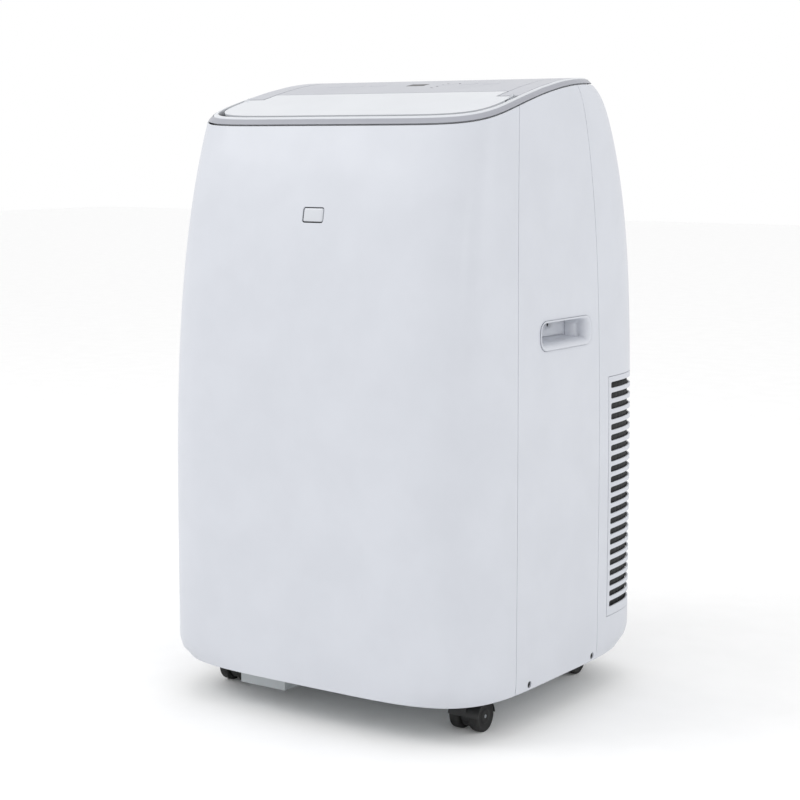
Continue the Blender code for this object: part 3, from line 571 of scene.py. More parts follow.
@dataclass(frozen=True)
class CaseForm:
    """The case's outer surface: a superellipse in plan that tapers towards the top.

    At height z the outline is |x/a|^n + |(y - centre)/b|^n = 1, where a, b and n depend on z and
    b and n differ between the front and the rear half.
    """

    half_width: float = 220.0
    front_depth: float = 189.7
    rear_depth: float = 233.0
    bottom: float = 44.0
    rim_front: float = 649.9
    rim_rear: float = 719.3
    rim_start: float = -302.5
    rim_end: float = 82.9
    taper_start: float = 0.033
    side_taper: tuple[float, float] = (0.0966, 3.36)
    front_taper: tuple[float, float] = (0.3726, 3.98)
    rear_taper: tuple[float, float] = (0.1926, 6.4)
    rear_roll: tuple[float, float] = (0.0924, 60.0)
    square_mid: float = 6.73
    square_foot: float = 4.54
    square_top: tuple[float, float] = (7.25, 5.0)
    foot_zone: float = 0.039
    top_zone: float = 0.365
    foot_tuck: float = 0.35
    front_seam: float = -0.45
    rear_seam: float = 0.424
    rim_rounds: int = 10
    rise_limit: float = 1.2
    top_limit: float = 1.1

    @property
    def centre_y(self) -> float:
        """Where the outline's middle lies behind the front."""
        return (self.front_depth - self.rear_depth) / 2

    def _share(self, z: Array) -> Array:
        """Height as a share of the case."""
        return (z - self.bottom) / (self.rim_rear - self.bottom)

    def _foot(self, z: Array) -> Array:
        """Weight of the tucked-in foot, squared, from 1 at the bottom to 0."""
        return np.clip((self.foot_zone - self._share(z)) / self.foot_zone, 0, 1) ** 2

    def sizes(self, z: Array, inset: float = 0.0) -> tuple[Array, Array, Array]:
        """Half width, front half depth and rear half depth at height z.

        Each is its size at the bottom times 1 - loss * rise^power, less the foot's tuck. The
        rear loses a second such term, which rolls it over just under the rim.

        Args:
            z: heights.
            inset: distance inwards from the surface.

        Returns:
            The three half sizes.
        """
        rise = np.clip((self._share(z) - self.taper_start) / (1 - self.taper_start),
                       0, self.rise_limit)
        tuck = self.foot_tuck * self._foot(z) + inset
        side, front, rear = (size * (1 - loss * rise ** power) - tuck for size, (loss, power) in
                             ((self.half_width, self.side_taper),
                              (self.front_depth, self.front_taper),
                              (self.rear_depth, self.rear_taper)))
        return side, front, rear - self.rear_depth * self.rear_roll[0] * rise ** self.rear_roll[1]

    def squareness(self, z: Array, rear: Array) -> Array:
        """The outline's exponent n: rounder at the foot, and its own value at the top.

        Args:
            z: heights.
            rear: where the outline is on the rear half.

        Returns:
            The exponents.
        """
        top = (self._share(z) - 1 + self.top_zone) / self.top_zone
        top = np.clip(top, 0, self.top_limit) ** 2
        high = np.where(rear, self.square_top[1], self.square_top[0])
        return (self.square_mid + (self.square_foot - self.square_mid) * self._foot(z)
                + (high - self.square_mid) * top)

    def outline(self, angle: Array, z: Array, inset: float = 0.0) -> tuple[Array, Array]:
        """A point of the outline: x = a cos^(2/n), y = b sin^(2/n) + centre, with their signs.

        Args:
            angle: angles round the middle, 0 on the right and a quarter turn at the rear.
            z: heights.
            inset: distance inwards from the surface.

        Returns:
            x and y.
        """
        cosine, sine = np.cos(angle), np.sin(angle)
        width, front, rear = self.sizes(z, inset)
        power = 2 / self.squareness(z, sine > 0)
        depth = np.where(sine > 0, rear, front)
        return (width * np.sign(cosine) * np.abs(cosine) ** power,
                depth * np.sign(sine) * np.abs(sine) ** power + self.centre_y)

    def rim_height(self, y: Array) -> Array:
        """Height of the case's upper edge: a smooth step from the front up to the rear."""
        share = np.clip((y - self.rim_start) / (self.rim_end - self.rim_start), 0, 1)
        return self.rim_front + (self.rim_rear - self.rim_front) * share ** 2 * (3 - 2 * share)

    def rim(self, angle: Array, inset: float = 0.0) -> Array:
        """Points where the outline meets the rim, found by going round the two formulas.

        Args:
            angle: angles round the middle.
            inset: distance inwards from the surface.

        Returns:
            The points.
        """
        z = np.full_like(angle, self.rim_front)
        for _ in range(self.rim_rounds):
            x, y = self.outline(angle, z, inset)
            z = self.rim_height(y)
        return np.stack([x, y, z], axis=-1)

    def angle_at_x(self, x: Array, z: Array, rear: bool, inset: float = 0.0) -> Array:
        """The outline's angle at which it passes x, on the front or the rear.

        Args:
            x: places across.
            z: heights.
            rear: whether the rear half is meant.
            inset: distance inwards from the surface.

        Returns:
            The angles.
        """
        width = self.sizes(z, inset)[0]
        cosine = np.sign(x) * (np.abs(x) / width) ** (self.squareness(z, rear) / 2)
        angle = np.arccos(np.clip(cosine, -1, 1))
        return angle if rear else -angle

    def angle_at_y(self, y: Array, z: Array, inset: float = 0.0) -> Array:
        """The outline's angle at which it passes y, on the right.

        Args:
            y: places from front to rear.
            z: heights.
            inset: distance inwards from the surface.

        Returns:
            The angles.
        """
        _, front, rear = self.sizes(z, inset)
        offset = y - self.centre_y
        behind = offset > 0
        share = np.abs(offset) / np.where(behind, rear, front)
        sine = share ** (self.squareness(z, behind) / 2)
        return np.sign(offset) * np.arcsin(np.clip(sine, 0, 1))

    def rim_angle_at_x(self, x: Array, rear: bool, inset: float) -> Array:
        """The angle at which the rim line passes x.

        Args:
            x: places across.
            rear: whether the rear half is meant.
            inset: distance inwards from the surface.

        Returns:
            The angles.
        """
        z = np.full_like(x, self.rim_rear if rear else self.rim_front)
        for _ in range(self.rim_rounds):
            angle = self.angle_at_x(x, z, rear, inset)
            z = self.rim_height(self.outline(angle, z, inset)[1])
        return angle

    def rim_angle_at_y(self, y: Array, inset: float) -> Array:
        """The angle at which the rim line passes y, on the right."""
        return self.angle_at_y(y, self.rim_height(y), inset)


CASE = CaseForm()


@dataclass(frozen=True)
class Opening:
    """A hole with straight sides and round corners, in a wall's own coordinates."""

    middle: tuple[float, float]
    half: tuple[float, float]
    radius: float
    margin: float = 1.5
    steps: int = 4

    def lines(self, axis: int) -> Array:
        """Grid lines that the hole asks for along one axis, denser through its corners.

        Args:
            axis: 0 across, 1 up.

        Returns:
            The lines in rising order.
        """
        straight = self.half[axis] - self.radius
        bend = straight + (self.radius + self.margin) * np.linspace(0, 1, self.steps + 1)
        return np.round(self.middle[axis] + np.concatenate([-bend[::-1], bend]), LINE_DIGITS)

    def nearest(self, points: Array) -> Array:
        """The outline's point nearest to each given point.

        The point is clamped to the hole's inner box, and the outline lies one radius from there.

        Args:
            points: places outside the hole's inner box.

        Returns:
            One point of the outline for each.
        """
        middle, half = np.array(self.middle), np.array(self.half)
        core = np.clip(points, middle - half + self.radius, middle + half - self.radius)
        away = points - core
        return core + away * self.radius / np.linalg.norm(away, axis=-1, keepdims=True)

    def rings(self, count: int, clearance: float, shares: tuple[float, ...]) -> Array:
        """The outline scaled about its middle, once for each share.

        The outline's points are the nearest ones to an ellipse that clears the hole.

        Args:
            count: number of points round the outline.
            clearance: how far the ellipse's ends lie outside the hole.
            shares: the scale of each ring.

        Returns:
            An array of points by rings by two coordinates.
        """
        turn = np.linspace(0, 2 * np.pi, count, endpoint=False)
        middle = np.array(self.middle)
        circle = np.stack([np.cos(turn), np.sin(turn)], axis=-1)
        edge = self.nearest(middle + (np.array(self.half) + clearance) * circle)
        return middle + (edge[:, None] - middle) * np.array(shares)[None, :, None]


def rolled_rows(lines: Array, zone: float = 24.0, step: float = 1.5) -> Array:
    """The rows with fine ones through the last stretch below the rim, where the case rolls over.

    Args:
        lines: the rows in rising order.
        zone: height of the fine stretch.
        step: distance between fine rows.

    Returns:
        The new rows.
    """
    low = lines[-1] - zone
    fine = np.linspace(low, lines[-1], int(zone / step) + 1)
    return np.concatenate([lines[lines < low - step], fine])


def merged_lines(low: float, high: float, spacing: float, holes: list[Opening], axis: int) -> Array:
    """Grid lines of a sheet: the holes' own lines, with plain ones where there is room.

    Args:
        low: first line.
        high: last line.
        spacing: distance between plain lines.
        holes: the sheet's holes.
        axis: 0 across, 1 up.

    Returns:
        The sorted lines.
    """
    wanted = np.unique(np.concatenate([[low, high]] + [hole.lines(axis) for hole in holes]))
    plain = np.linspace(low, high, max(int((high - low) / spacing), 1) + 1)
    room = np.abs(plain[:, None] - wanted[None]).min(1) > spacing * LINE_ROOM
    return np.unique(np.round(np.concatenate([wanted, plain[room]]), LINE_DIGITS))


def pierced(across: Array, up: Array, holes: list[Opening],
            place: Callable[[Array, Array], Array]) -> Surface:
    """A sheet on a grid with its holes cut out.

    Each hole takes the place of a block of cells, and a ring of quads joins the block's edge to
    the nearest points of the hole's outline.

    Args:
        across: grid lines across.
        up: grid lines up.
        holes: the holes.
        place: function from (across, up) arrays to points.

    Returns:
        The open sheet.
    """
    grid_across, grid_up = np.meshgrid(across, up, indexing="ij")
    keep = np.ones((len(across) - 1, len(up) - 1), bool)
    number = np.arange(grid_across.size).reshape(grid_across.shape)
    rings = []
    for hole in holes:
        ends = [[int(np.abs(lines - edge).argmin()) for edge in hole.lines(axis)[[0, -1]]]
                for axis, lines in ((0, across), (1, up))]
        (left, right), (low, high) = ends
        keep[left:right, low:high] = False
        rings.append((hole, np.concatenate([
            number[left:right, low], number[right, low:high],
            number[right:left:-1, high], number[left, high:low:-1]])))
    surface = Surface()
    surface.add(place(grid_across, grid_up), grid_faces(len(across), len(up), keep=keep))
    flat = np.stack([grid_across.ravel(), grid_up.ravel()], axis=-1)
    for hole, ring in rings:
        outline = hole.nearest(flat[ring])
        start = surface.add(place(outline[:, 0], outline[:, 1]), np.empty((0, 4), int))
        inner = start + np.arange(len(ring))
        surface.link(np.stack([ring, np.roll(ring, -1), np.roll(inner, -1), inner], axis=-1))
    return surface


class Wall(Enum):
    """The four walls of the case."""

    FRONT = "front"
    REAR = "rear"
    RIGHT = "right"
    LEFT = "left"


@dataclass(frozen=True)
class WallForm:
    """Maps a wall's own coordinates (across, up) to points of the case.

    On the front and the rear, across is x as far as the corner, and from there it runs on round
    the corner to the seam. On the sides it is y at the height of the handle.
    """

    wall: Wall
    level: float = 600.0
    corner_x: float = 165.5
    corner_run: float = 160.0
    seam_gap: float = 0.6
    side_height: float = 440.0

    @property
    def rear(self) -> bool:
        """Whether this is the rear wall."""
        return self.wall is Wall.REAR

    @property
    def reach(self) -> float:
        """The across value of a front or rear wall's seam."""
        return self.corner_x + self.corner_run

    def side_ends(self, z: Array) -> tuple[Array, Array]:
        """y of a side panel's two edges.

        Args:
            z: heights.

        Returns:
            The front edge and the rear edge.
        """
        _, front, rear = CASE.sizes(z)
        half_gap = self.seam_gap / 2
        return (CASE.centre_y + CASE.front_seam * front + half_gap,
                CASE.centre_y + CASE.rear_seam * rear - half_gap)

    def seam_y(self, z: Array) -> Array:
        """y of a front or rear moulding's edge at height z."""
        front, rear = self.side_ends(z)
        return rear + self.seam_gap if self.rear else front - self.seam_gap

    def angle(self, across: Array, z: Array) -> Array:
        """The outline's angle for a place on the wall.

        On a side, y keeps its share of the panel's width. Elsewhere the angle follows x up to
        the corner, and from there it is mixed with the seam's by the share of the corner's run.

        Args:
            across: places across the wall.
            z: their heights.

        Returns:
            The angles.
        """
        if self.wall in (Wall.RIGHT, Wall.LEFT):
            low, high = self.side_ends(np.array(self.side_height))
            share = (across - low) / (high - low)
            front, rear = self.side_ends(z)
            angle = CASE.angle_at_y(front + (rear - front) * share, z)
            return angle if self.wall is Wall.RIGHT else np.pi - angle
        flat = CASE.angle_at_x(np.clip(across, -self.corner_x, self.corner_x), z, self.rear)
        seam = CASE.angle_at_y(self.seam_y(z), z)
        far = (np.pi if self.rear else -np.pi) - seam
        share = np.clip((np.abs(across) - self.corner_x) / self.corner_run, 0, 1)
        return flat * (1 - share) + np.where(across > 0, seam, far) * share

    def across_at_y(self, y: float, z: float) -> float:
        """The across value round the right-hand corner at which the wall passes y.

        Args:
            y: the distance from front to rear.
            z: the height.

        Returns:
            The across value.
        """
        heights = np.array(z)
        flat = CASE.angle_at_x(np.array(self.corner_x), heights, self.rear)
        seam = CASE.angle_at_y(self.seam_y(heights), heights)
        share = (CASE.angle_at_y(np.array(y), heights) - flat) / (seam - flat)
        return float(self.corner_x + self.corner_run * share)

    def side_across(self, y: float, z: float) -> float:
        """The across value at which a side panel passes y.

        Args:
            y: the distance from front to rear.
            z: the height.

        Returns:
            The across value.
        """
        low, high = self.side_ends(np.array(self.side_height))
        front, rear = self.side_ends(np.array(z))
        return float(low + (high - low) * (y - front) / (rear - front))

    def place(self, across: Array, up: Array) -> Array:
        """Points of the wall; above its level the rows bend up to follow the rim.

        Args:
            across: places across the wall.
            up: their rows.

        Returns:
            The points.
        """
        top = np.full(np.broadcast(across, up).shape, CASE.rim_rear)
        for _ in range(CASE.rim_rounds):
            top = CASE.rim_height(CASE.outline(self.angle(across, top), top)[1])
        share = np.clip((up - self.level) / (CASE.rim_rear - self.level), 0, 1)
        z = np.where(up > self.level, self.level + (top - self.level) * share, up)
        x, y = CASE.outline(self.angle(across, z), z)
        return np.stack([x, y, z], axis=-1)


@dataclass(frozen=True)
class RearLayout:
    """Places on the rear wall that the housing, the grilles and the fittings share."""

    exhaust_z: float = 465.0
    service_z: float = 71.0
    gland_x: float = -150.0
    grille_low: tuple[float, float] = (90.0, 380.0)
    grille_high: tuple[float, float] = (556.0, 688.0)
    grille_half_width: float = 165.0
    grille_front_y: float = 100.0


REAR = RearLayout()
REAR_WALL = WallForm(Wall.REAR, level=700.0)


# ---------------------------------------------------------------- the case's mouldings

@dataclass
class HandleRecess:
    """The scooped grip in a side panel: crisp above and in front, softly rolled elsewhere."""

    middle_z: float = 440.0
    half_length: float = 55.0
    half_height: float = 16.0
    corner: float = 13.0
    lip: tuple[float, float] = (2.4, 0.8)
    wall: float = 1.8
    back_x: float = 189.5
    floor_rise: float = 3.0
    floor_fade: float = 0.3
    rear_slope: float = 9.0
    end_power: float = 1.5
    soft: float = 9.0
    soft_depth: float = 17.0
    soft_start: float = 0.55
    soft_below: float = 4.0
    crisp: float = 0.7
    screw_y: float = 3.0
    screw_z: float = 448.5
    screw_radius: float = 4.2
    screw_depth: float = 14.0
    # The handle screw's black head sits this far down its 14 mm hole and paints the hole's shade.
    plug_sunk: float = 1.2
    around: int = 144
    clearance: float = 40.0
    crowding: float = 3.0
    lip_rings: int = 8
    rings: int = 12
    back_shares: tuple[float, ...] = (0.04, 0.3, 0.65, 1.0)

    def mouth(self) -> Opening:
        """The panel's hole, a lip's width larger than the grip."""
        half = (self.half_length + self.lip[0], self.half_height + self.lip[1])
        return Opening((0.0, self.middle_z), half, self.corner, margin=2.0, steps=8)

    def cup(self, wall: WallForm) -> Surface:
        """The recess as rings that shrink from the mouth to the back wall.

        The rings roll over the lip on a quarter ellipse, run inwards while the floor rises and
        the rear end closes in as a square root of the depth, and turn onto the back wall.

        Args:
            wall: the panel that the recess is in.

        Returns:
            The open sheet, its mouth flush with the panel and its faces turned to the hand.
        """
        mouth = self.mouth()
        edge = self._loop(mouth)
        start = wall.place(edge[:, 0], edge[:, 1])
        sign = np.sign(start[0, 0])
        softness = self._softness(start)
        roll = self.crisp + (self.soft - self.crisp) * softness
        dip = self.crisp + (self.soft_depth - self.crisp) * softness
        depth = np.abs(start[:, 0]) - self.back_x
        away = self._away(start[:, 1:], mouth)
        rows = [start]
        for arc in np.linspace(0, np.pi / 2, self.lip_rings)[1:]:
            rows.append(np.column_stack([start[:, 0] - sign * dip * (1 - np.cos(arc)),
                                         start[:, 1:] - away * (roll * np.sin(arc))[:, None]]))
        last = rows[-1]
        for step in np.linspace(0, 1, self.rings)[1:]:
            y, z = self._squeezed(last[:, 1], last[:, 2], step)
            rows.append(np.stack([last[:, 0] - sign * (depth - dip) * step, y, z], axis=-1))
        rows += self._screw_hole(rows[-1], sign)
        surface = Surface()
        faces = grid_faces(self.around, len(rows), around=True)
        surface.add(np.stack(rows, axis=1), faces[:, ::-1] if wall.wall is Wall.RIGHT else faces)
        return surface

    def _loop(self, mouth: Opening) -> Array:
        """Points round the mouth, crowded into its two ends.

        They are the nearest ones to a circle whose halves a tanh of the cosine moves apart.

        Args:
            mouth: the panel's hole.

        Returns:
            Across and up of each point.
        """
        turn = np.linspace(0, 2 * np.pi, self.around, endpoint=False)
        reach = mouth.half[0] - mouth.half[1]
        along = reach * np.tanh(self.crowding * np.cos(turn)) + self.clearance * np.cos(turn)
        far = np.stack([along, self.clearance * np.sin(turn)], axis=-1)
        return mouth.nearest(np.array(mouth.middle) + far)

    def _softness(self, rim: Array) -> Array:
        """How softly the lip rolls: 0 above and in front, 1 towards the rear and below.

        Args:
            rim: the mouth's points.

        Returns:
            One share for each.
        """
        rear = self._blend(rim[:, 1], self.half_length * self.soft_start,
                           self.half_length + self.soft)
        below = self._blend(-rim[:, 2], -self.middle_z - self.soft_below,
                            self.half_height - self.middle_z + self.soft)
        return np.maximum(rear, below)

    def _away(self, rim: Array, mouth: Opening) -> Array:
        """The mouth's outward direction at each rim point, from its clamped inner box.

        Args:
            rim: y and z of the rim.
            mouth: the panel's hole.

        Returns:
            Unit vectors in y and z.
        """
        out = rim - np.array(mouth.middle)
        straight = np.array(mouth.half) - self.corner
        away = out - np.clip(out, -straight, straight)
        return away / np.linalg.norm(away, axis=-1, keepdims=True)

    def _blend(self, value: Array, low: float, high: float) -> Array:
        """A smooth step from 0 at low to 1 at high."""
        share = np.clip((value - low) / (high - low), 0, 1)
        return share ** 2 * (3 - 2 * share)

    def _squeezed(self, y: Array, z: Array, step: float) -> tuple[Array, Array]:
        """The ring at a share of the depth: the floor has risen and the rear end has closed in.

        Args:
            y: the lip's inner edge, along the panel.
            z: the same edge's height.
            step: share of the depth.

        Returns:
            The ring's y and z.
        """
        low, high = self.middle_z - self.half_height, self.middle_z + self.half_height
        share = np.clip((high - z) / (high - low), 0, 1)
        end = np.clip(y / self.half_length, 0, 1) ** self.end_power
        return (y - self.rear_slope * np.sqrt(step) * end,
                z + self.floor_rise * step * share * (1 - self.floor_fade * end))

    def _screw_hole(self, back: Array, sign: float) -> list[Array]:
        """Rings that cross the back wall to the screw hole and run down into it.

        Args:
            back: the last ring of the recess.
            sign: -1 on the left, 1 on the right.

        Returns:
            The rings in order.
        """
        hub = np.array([self.screw_y, self.screw_z])
        spoke = back[:, 1:] - hub
        circle = hub + self.screw_radius * spoke / np.linalg.norm(spoke, axis=-1, keepdims=True)
        ring = np.concatenate([back[:, :1], circle], axis=-1)
        rings = [back + (ring - back) * share for share in self.back_shares]
        return rings + [ring - np.array([sign * self.screw_depth, 0.0, 0.0])]


@dataclass
class Screw:
    """A pan-head screw with a cross recess, seen at the bottom of its hole."""

    radius: float = 3.7
    height: float = 1.6
    dome_fall: float = 0.35
    slot: float = 0.55
    slot_reach: float = 0.62
    slot_depth: float = 0.55
    rings: int = 12
    around: int = 48

    def surface(self, centre: Array, outward: Array) -> Surface:
        """The head as a height over a disc: a low dome less the recess where a slot arm passes.

        Args:
            centre: where the head sits.
            outward: unit vector of its axis.

        Returns:
            A closed head.
        """
        radius = np.concatenate([np.linspace(0, 1, self.rings), [1.0, 0.0]]) * self.radius
        turn = np.linspace(0, 2 * np.pi, self.around, endpoint=False)
        first, second = np.outer(np.cos(turn), radius), np.outer(np.sin(turn), radius)
        dome = self.height * (1 - self.dome_fall * (radius / self.radius) ** 2)
        arms = np.minimum(np.abs(first), np.abs(second)) < self.slot
        within = radius < self.radius * self.slot_reach
        height = dome - np.where(arms & within, self.height * self.slot_depth, 0.0)
        height[:, self.rings:] = 0.0
        side = np.cross(outward, (0.0, 0.0, 1.0))
        side = side / np.linalg.norm(side)
        lift = np.cross(side, outward)
        surface = Surface()
        surface.add(centre + first[..., None] * side + second[..., None] * lift
                    + height[..., None] * outward,
                    grid_faces(self.around, len(radius), around=True))
        return surface


@dataclass
class CaseMouldings:
    """Front cover, side panels, rear housing, handle cups and the screws that hold them."""

    shell: Build = Build(wall=2.4, edge=0.55, segments=3, side=Side.OUT)
    column: float = 9.0
    side_column: float = 10.0
    row: float = 11.0
    line_room: float = 1.2
    window_half: tuple[float, float] = (14.6, 8.6)
    window_z: float = 574.0
    window_gap: float = 1.25
    window_corner: float = 3.0
    window_points: int = 72
    window_clearance: float = 8.65
    window_shares: tuple[float, ...] = (0.0, 1.0, 1.0, 0.96, 0.8, 0.4, 0.0)
    window_sunk: tuple[float, ...] = (2.6, 2.6, 1.0, 0.45, 0.35, 0.3, 0.3)
    exhaust_radius: float = 74.0
    drain_radius: float = 9.2
    gland_radius: float = 8.0
    screw_hole: float = 3.9
    # The foot screws' black heads paint the shade of their holes.
    screw_sunk: float = 3.0
    foot_screws: tuple[float, ...] = (-78.0, 66.0)
    foot_screw_z: float = 50.2
    handle: HandleRecess = field(default_factory=HandleRecess)
    screw: Screw = field(default_factory=Screw)

    def build(self) -> None:
        """Build and dress every moulding of the case."""
        self.front_cover()
        self.receiver_window()
        for side in (Wall.LEFT, Wall.RIGHT):
            self.side_panel(side)
        self.rear_housing()

    def rows(self, holes: list[Opening]) -> Array:
        """The grid lines up a wall with these holes."""
        return merged_lines(CASE.bottom, CASE.rim_rear, self.row, holes, 1)

    def front_cover(self) -> None:
        """The front and its two corners in one sheet, pierced for the receiver window."""
        form = WallForm(Wall.FRONT)
        holes = [Opening((0.0, self.window_z), self.window_half, self.window_corner,
                         margin=2.0, steps=5)]
        across = merged_lines(-form.reach, form.reach, self.column, holes, 0)
        self.shell.piece("front_cover_moulding",
                         pierced(across, rolled_rows(self.rows(holes)), holes, form.place),
                         "shell_white", "front_cover")

    def receiver_window(self) -> None:
        """A small crowned plate in the front cover's hole, a hair below its surface."""
        half = tuple(size - self.window_gap for size in self.window_half)
        plate = Opening((0.0, self.window_z), half, self.window_corner - self.window_gap)
        plan = plate.rings(self.window_points, self.window_clearance, self.window_shares)
        points = WallForm(Wall.FRONT).place(plan[..., 0], plan[..., 1])
        points[..., 1] += np.array(self.window_sunk)
        surface = Surface()
        surface.add(points, grid_faces(*plan.shape[:2], around=True))
        WHOLE.piece("receiver_window_plate", surface, "window_white", "receiver_window")

    def side_panel(self, side: Wall) -> None:
        """One side panel with its handle cup and its screws.

        Args:
            side: Wall.LEFT or Wall.RIGHT.
        """
        form = WallForm(side)
        name = side.value
        sign = 1.0 if side is Wall.RIGHT else -1.0
        places = [form.side_across(y, self.foot_screw_z) for y in self.foot_screws]
        holes = [self.handle.mouth()] + [
            Opening((place, self.foot_screw_z), (self.screw_hole, self.screw_hole),
                    self.screw_hole, margin=1.0, steps=3) for place in places]
        low, high = (float(end) for end in form.side_ends(np.array(form.side_height)))
        across = merged_lines(low, high, self.side_column, holes, 0)
        self.shell.piece("side_panel_moulding_" + name,
                         pierced(across, rolled_rows(self.rows(holes)), holes, form.place),
                         "shell_white", "side_panel_" + name)
        Build(self.handle.wall, 0.0, side=Side.AS_MADE).piece(
            "handle_cup_moulding_" + name, self.handle.cup(form), "shell_white",
            "handle_cup_" + name)
        for number, place in enumerate(places, 1):
            point = form.place(np.array(place), np.array(self.foot_screw_z))
            self.fasten(f"foot_screw_{name}_{number}", point, sign, self.screw_sunk)
        grip = np.array([sign * self.handle.back_x, self.handle.screw_y, self.handle.screw_z])
        self.fasten("handle_screw_" + name, grip, sign, self.handle.plug_sunk)

    def fasten(self, name: str, point: Array, sign: float, sunk: float) -> None:
        """Set a black screw head below a hole in a side panel; its black is painted shade for the
        hole.

        Args:
            name: the screw's name.
            point: the middle of the hole.
            sign: -1 on the left, 1 on the right.
            sunk: how far in the head sits.
        """
        outward = np.array([sign, 0.0, 0.0])
        WHOLE.piece(name, self.screw.surface(point - outward * sunk, outward), "caster_black")

    def rear_housing(self) -> None:
        """The rear wall with both grille openings, the hose socket, the drain and the cord hole."""
        holes = [Opening((x, z), (radius, radius), radius, margin, steps)
                 for x, z, radius, margin, steps in (
                     (0.0, REAR.exhaust_z, self.exhaust_radius, 5.0, 8),
                     (0.0, REAR.service_z, self.drain_radius, 1.5, 3),
                     (REAR.gland_x, REAR.service_z, self.gland_radius, 1.5, 3))]
        edge = REAR_WALL.across_at_y(REAR.grille_front_y, sum(REAR.grille_low) / 2)
        half = REAR.grille_half_width
        plain = merged_lines(-REAR_WALL.reach, REAR_WALL.reach, self.column, holes, 0)
        across = self._with(plain, [-edge, edge, -half, half])
        up = rolled_rows(self._with(self.rows(holes), [*REAR.grille_low, *REAR.grille_high]))
        surface = pierced(across, up, holes, REAR_WALL.place)
        middle_across, middle_up = (lines[:-1] + np.diff(lines) / 2 for lines in (across, up))
        cut = np.zeros((len(across) - 1, len(up) - 1), bool)
        for reach, (low, high) in ((edge, REAR.grille_low), (half, REAR.grille_high)):
            cut |= (np.abs(middle_across) < reach)[:, None] & (middle_up > low) & (middle_up < high)
        cut_cells = grid_faces(len(across), len(up), keep=cut)
        sheet = surface.faces[0]
        surface.faces[0] = sheet[~np.isin(sheet[:, 0], cut_cells[:, 0])]
        self.shell.piece("rear_housing_moulding", surface, "shell_white", "rear_housing")

    def _with(self, lines: Array, more: list[float]) -> Array:
        """The lines with some more, and with near ones dropped in their favour.

        Args:
            lines: the lines so far.
            more: the lines to add.

        Returns:
            The sorted lines.
        """
        extra = np.round(np.array(more), LINE_DIGITS)
        far = np.abs(lines[:, None] - extra[None]).min(1) > self.line_room
        return np.unique(np.concatenate([lines[far], extra]))


# ---------------------------------------------------------------- rear grilles

@dataclass
class RearGrilles:
    """The two slotted panels over the air filters."""

    wall: float = 2.2
    edge: float = 0.45
    gap: float = 0.4
    column: float = 8.0
    row: float = 6.0
    pitch: float = 12.6
    slot: float = 7.2
    corner: float = 1.8
    slot_margin: float = 0.9
    slot_steps: int = 2
    slot_front_y: float = 107.0
    split: tuple[float, float] = (138.0, 150.0)
    low_first: float = 101.0
    low_count: int = 22
    high_first: float = 566.0
    high_count: int = 9
    high_columns: tuple[tuple[float, float], ...] = ((-155, -57), (-49, 49), (57, 155))
    net_wall: float = 0.8
    net_inset: float = 3.4
    net_border: tuple[float, float] = (6.0, 5.0)
    net_grid: tuple[int, int] = (241, 12)
    pleat: float = 0.4
    pleat_pitch: float = 9.0

    def build(self) -> None:
        """Build and dress both grilles and their filter nets."""
        middle = sum(REAR.grille_low) / 2
        end = REAR_WALL.across_at_y(self.slot_front_y, middle)
        reach = REAR_WALL.across_at_y(REAR.grille_front_y, middle) - self.gap
        inner, outer = self.split
        self.panel("lower", reach, REAR.grille_low, self.low_first, self.low_count,
                   ((-end, -outer), (-inner, inner), (outer, end)))
        self.net("lower", reach, REAR.grille_low)
        self.net("upper", REAR.grille_half_width, REAR.grille_high)
        self.panel("upper", REAR.grille_half_width - self.gap, REAR.grille_high,
                   self.high_first, self.high_count, self.high_columns)

    def net(self, which: str, reach: float, ends: tuple[float, float]) -> None:
        """A filter net that follows its grille from inside, pleated by a small cosine; its near
        black also paints the shade inside the case behind the slots.

        Args:
            which: "lower" or "upper".
            reach: half width of the grille along the wall.
            ends: the grille's lowest and highest z.
        """
        beside, above = self.net_border
        columns, rows = self.net_grid
        across, up = np.meshgrid(np.linspace(beside - reach, reach - beside, columns),
                                 np.linspace(ends[0] + above, ends[1] - above, rows),
                                 indexing="ij")
        inset = self.net_inset + self.pleat * np.cos(across * 2 * np.pi / self.pleat_pitch)
        x, y = CASE.outline(REAR_WALL.angle(across, up), up, inset)
        surface = Surface()
        surface.add(np.stack([x, y, up], axis=-1), grid_faces(columns, rows))
        Build(self.net_wall, 0.0, side=Side.OUT, body="grille_" + which).piece(
            "air_filter_" + which, surface, "filter_mesh", "filter_" + which)

    def panel(self, which: str, reach: float, ends: tuple[float, float], first: float, count: int,
              runs: tuple[tuple[float, float], ...]) -> None:
        """One grille: a sheet of the rear wall pierced by rows of slots.

        Args:
            which: "lower" or "upper".
            reach: its half width along the wall.
            ends: lowest and highest z of the housing's opening.
            first: the lowest slot's lower edge.
            count: number of rows.
            runs: start and end of each slot in a row.
        """
        rows = first + self.slot / 2 + self.pitch * np.arange(count)
        holes = [Opening(((start + end) / 2, float(z)), ((end - start) / 2, self.slot / 2),
                         self.corner, self.slot_margin, self.slot_steps)
                 for z in rows for start, end in runs]
        across = merged_lines(-reach, reach, self.column, holes, 0)
        up = merged_lines(ends[0] + self.gap, ends[1] - self.gap, self.row, holes, 1)
        Build(self.wall, self.edge, side=Side.OUT, body="grille_" + which).piece(
            f"rear_grille_{which}_panel", pierced(across, up, holes, REAR_WALL.place),
            "grille_white", "rear_grille_" + which)


# ---------------------------------------------------------------- top

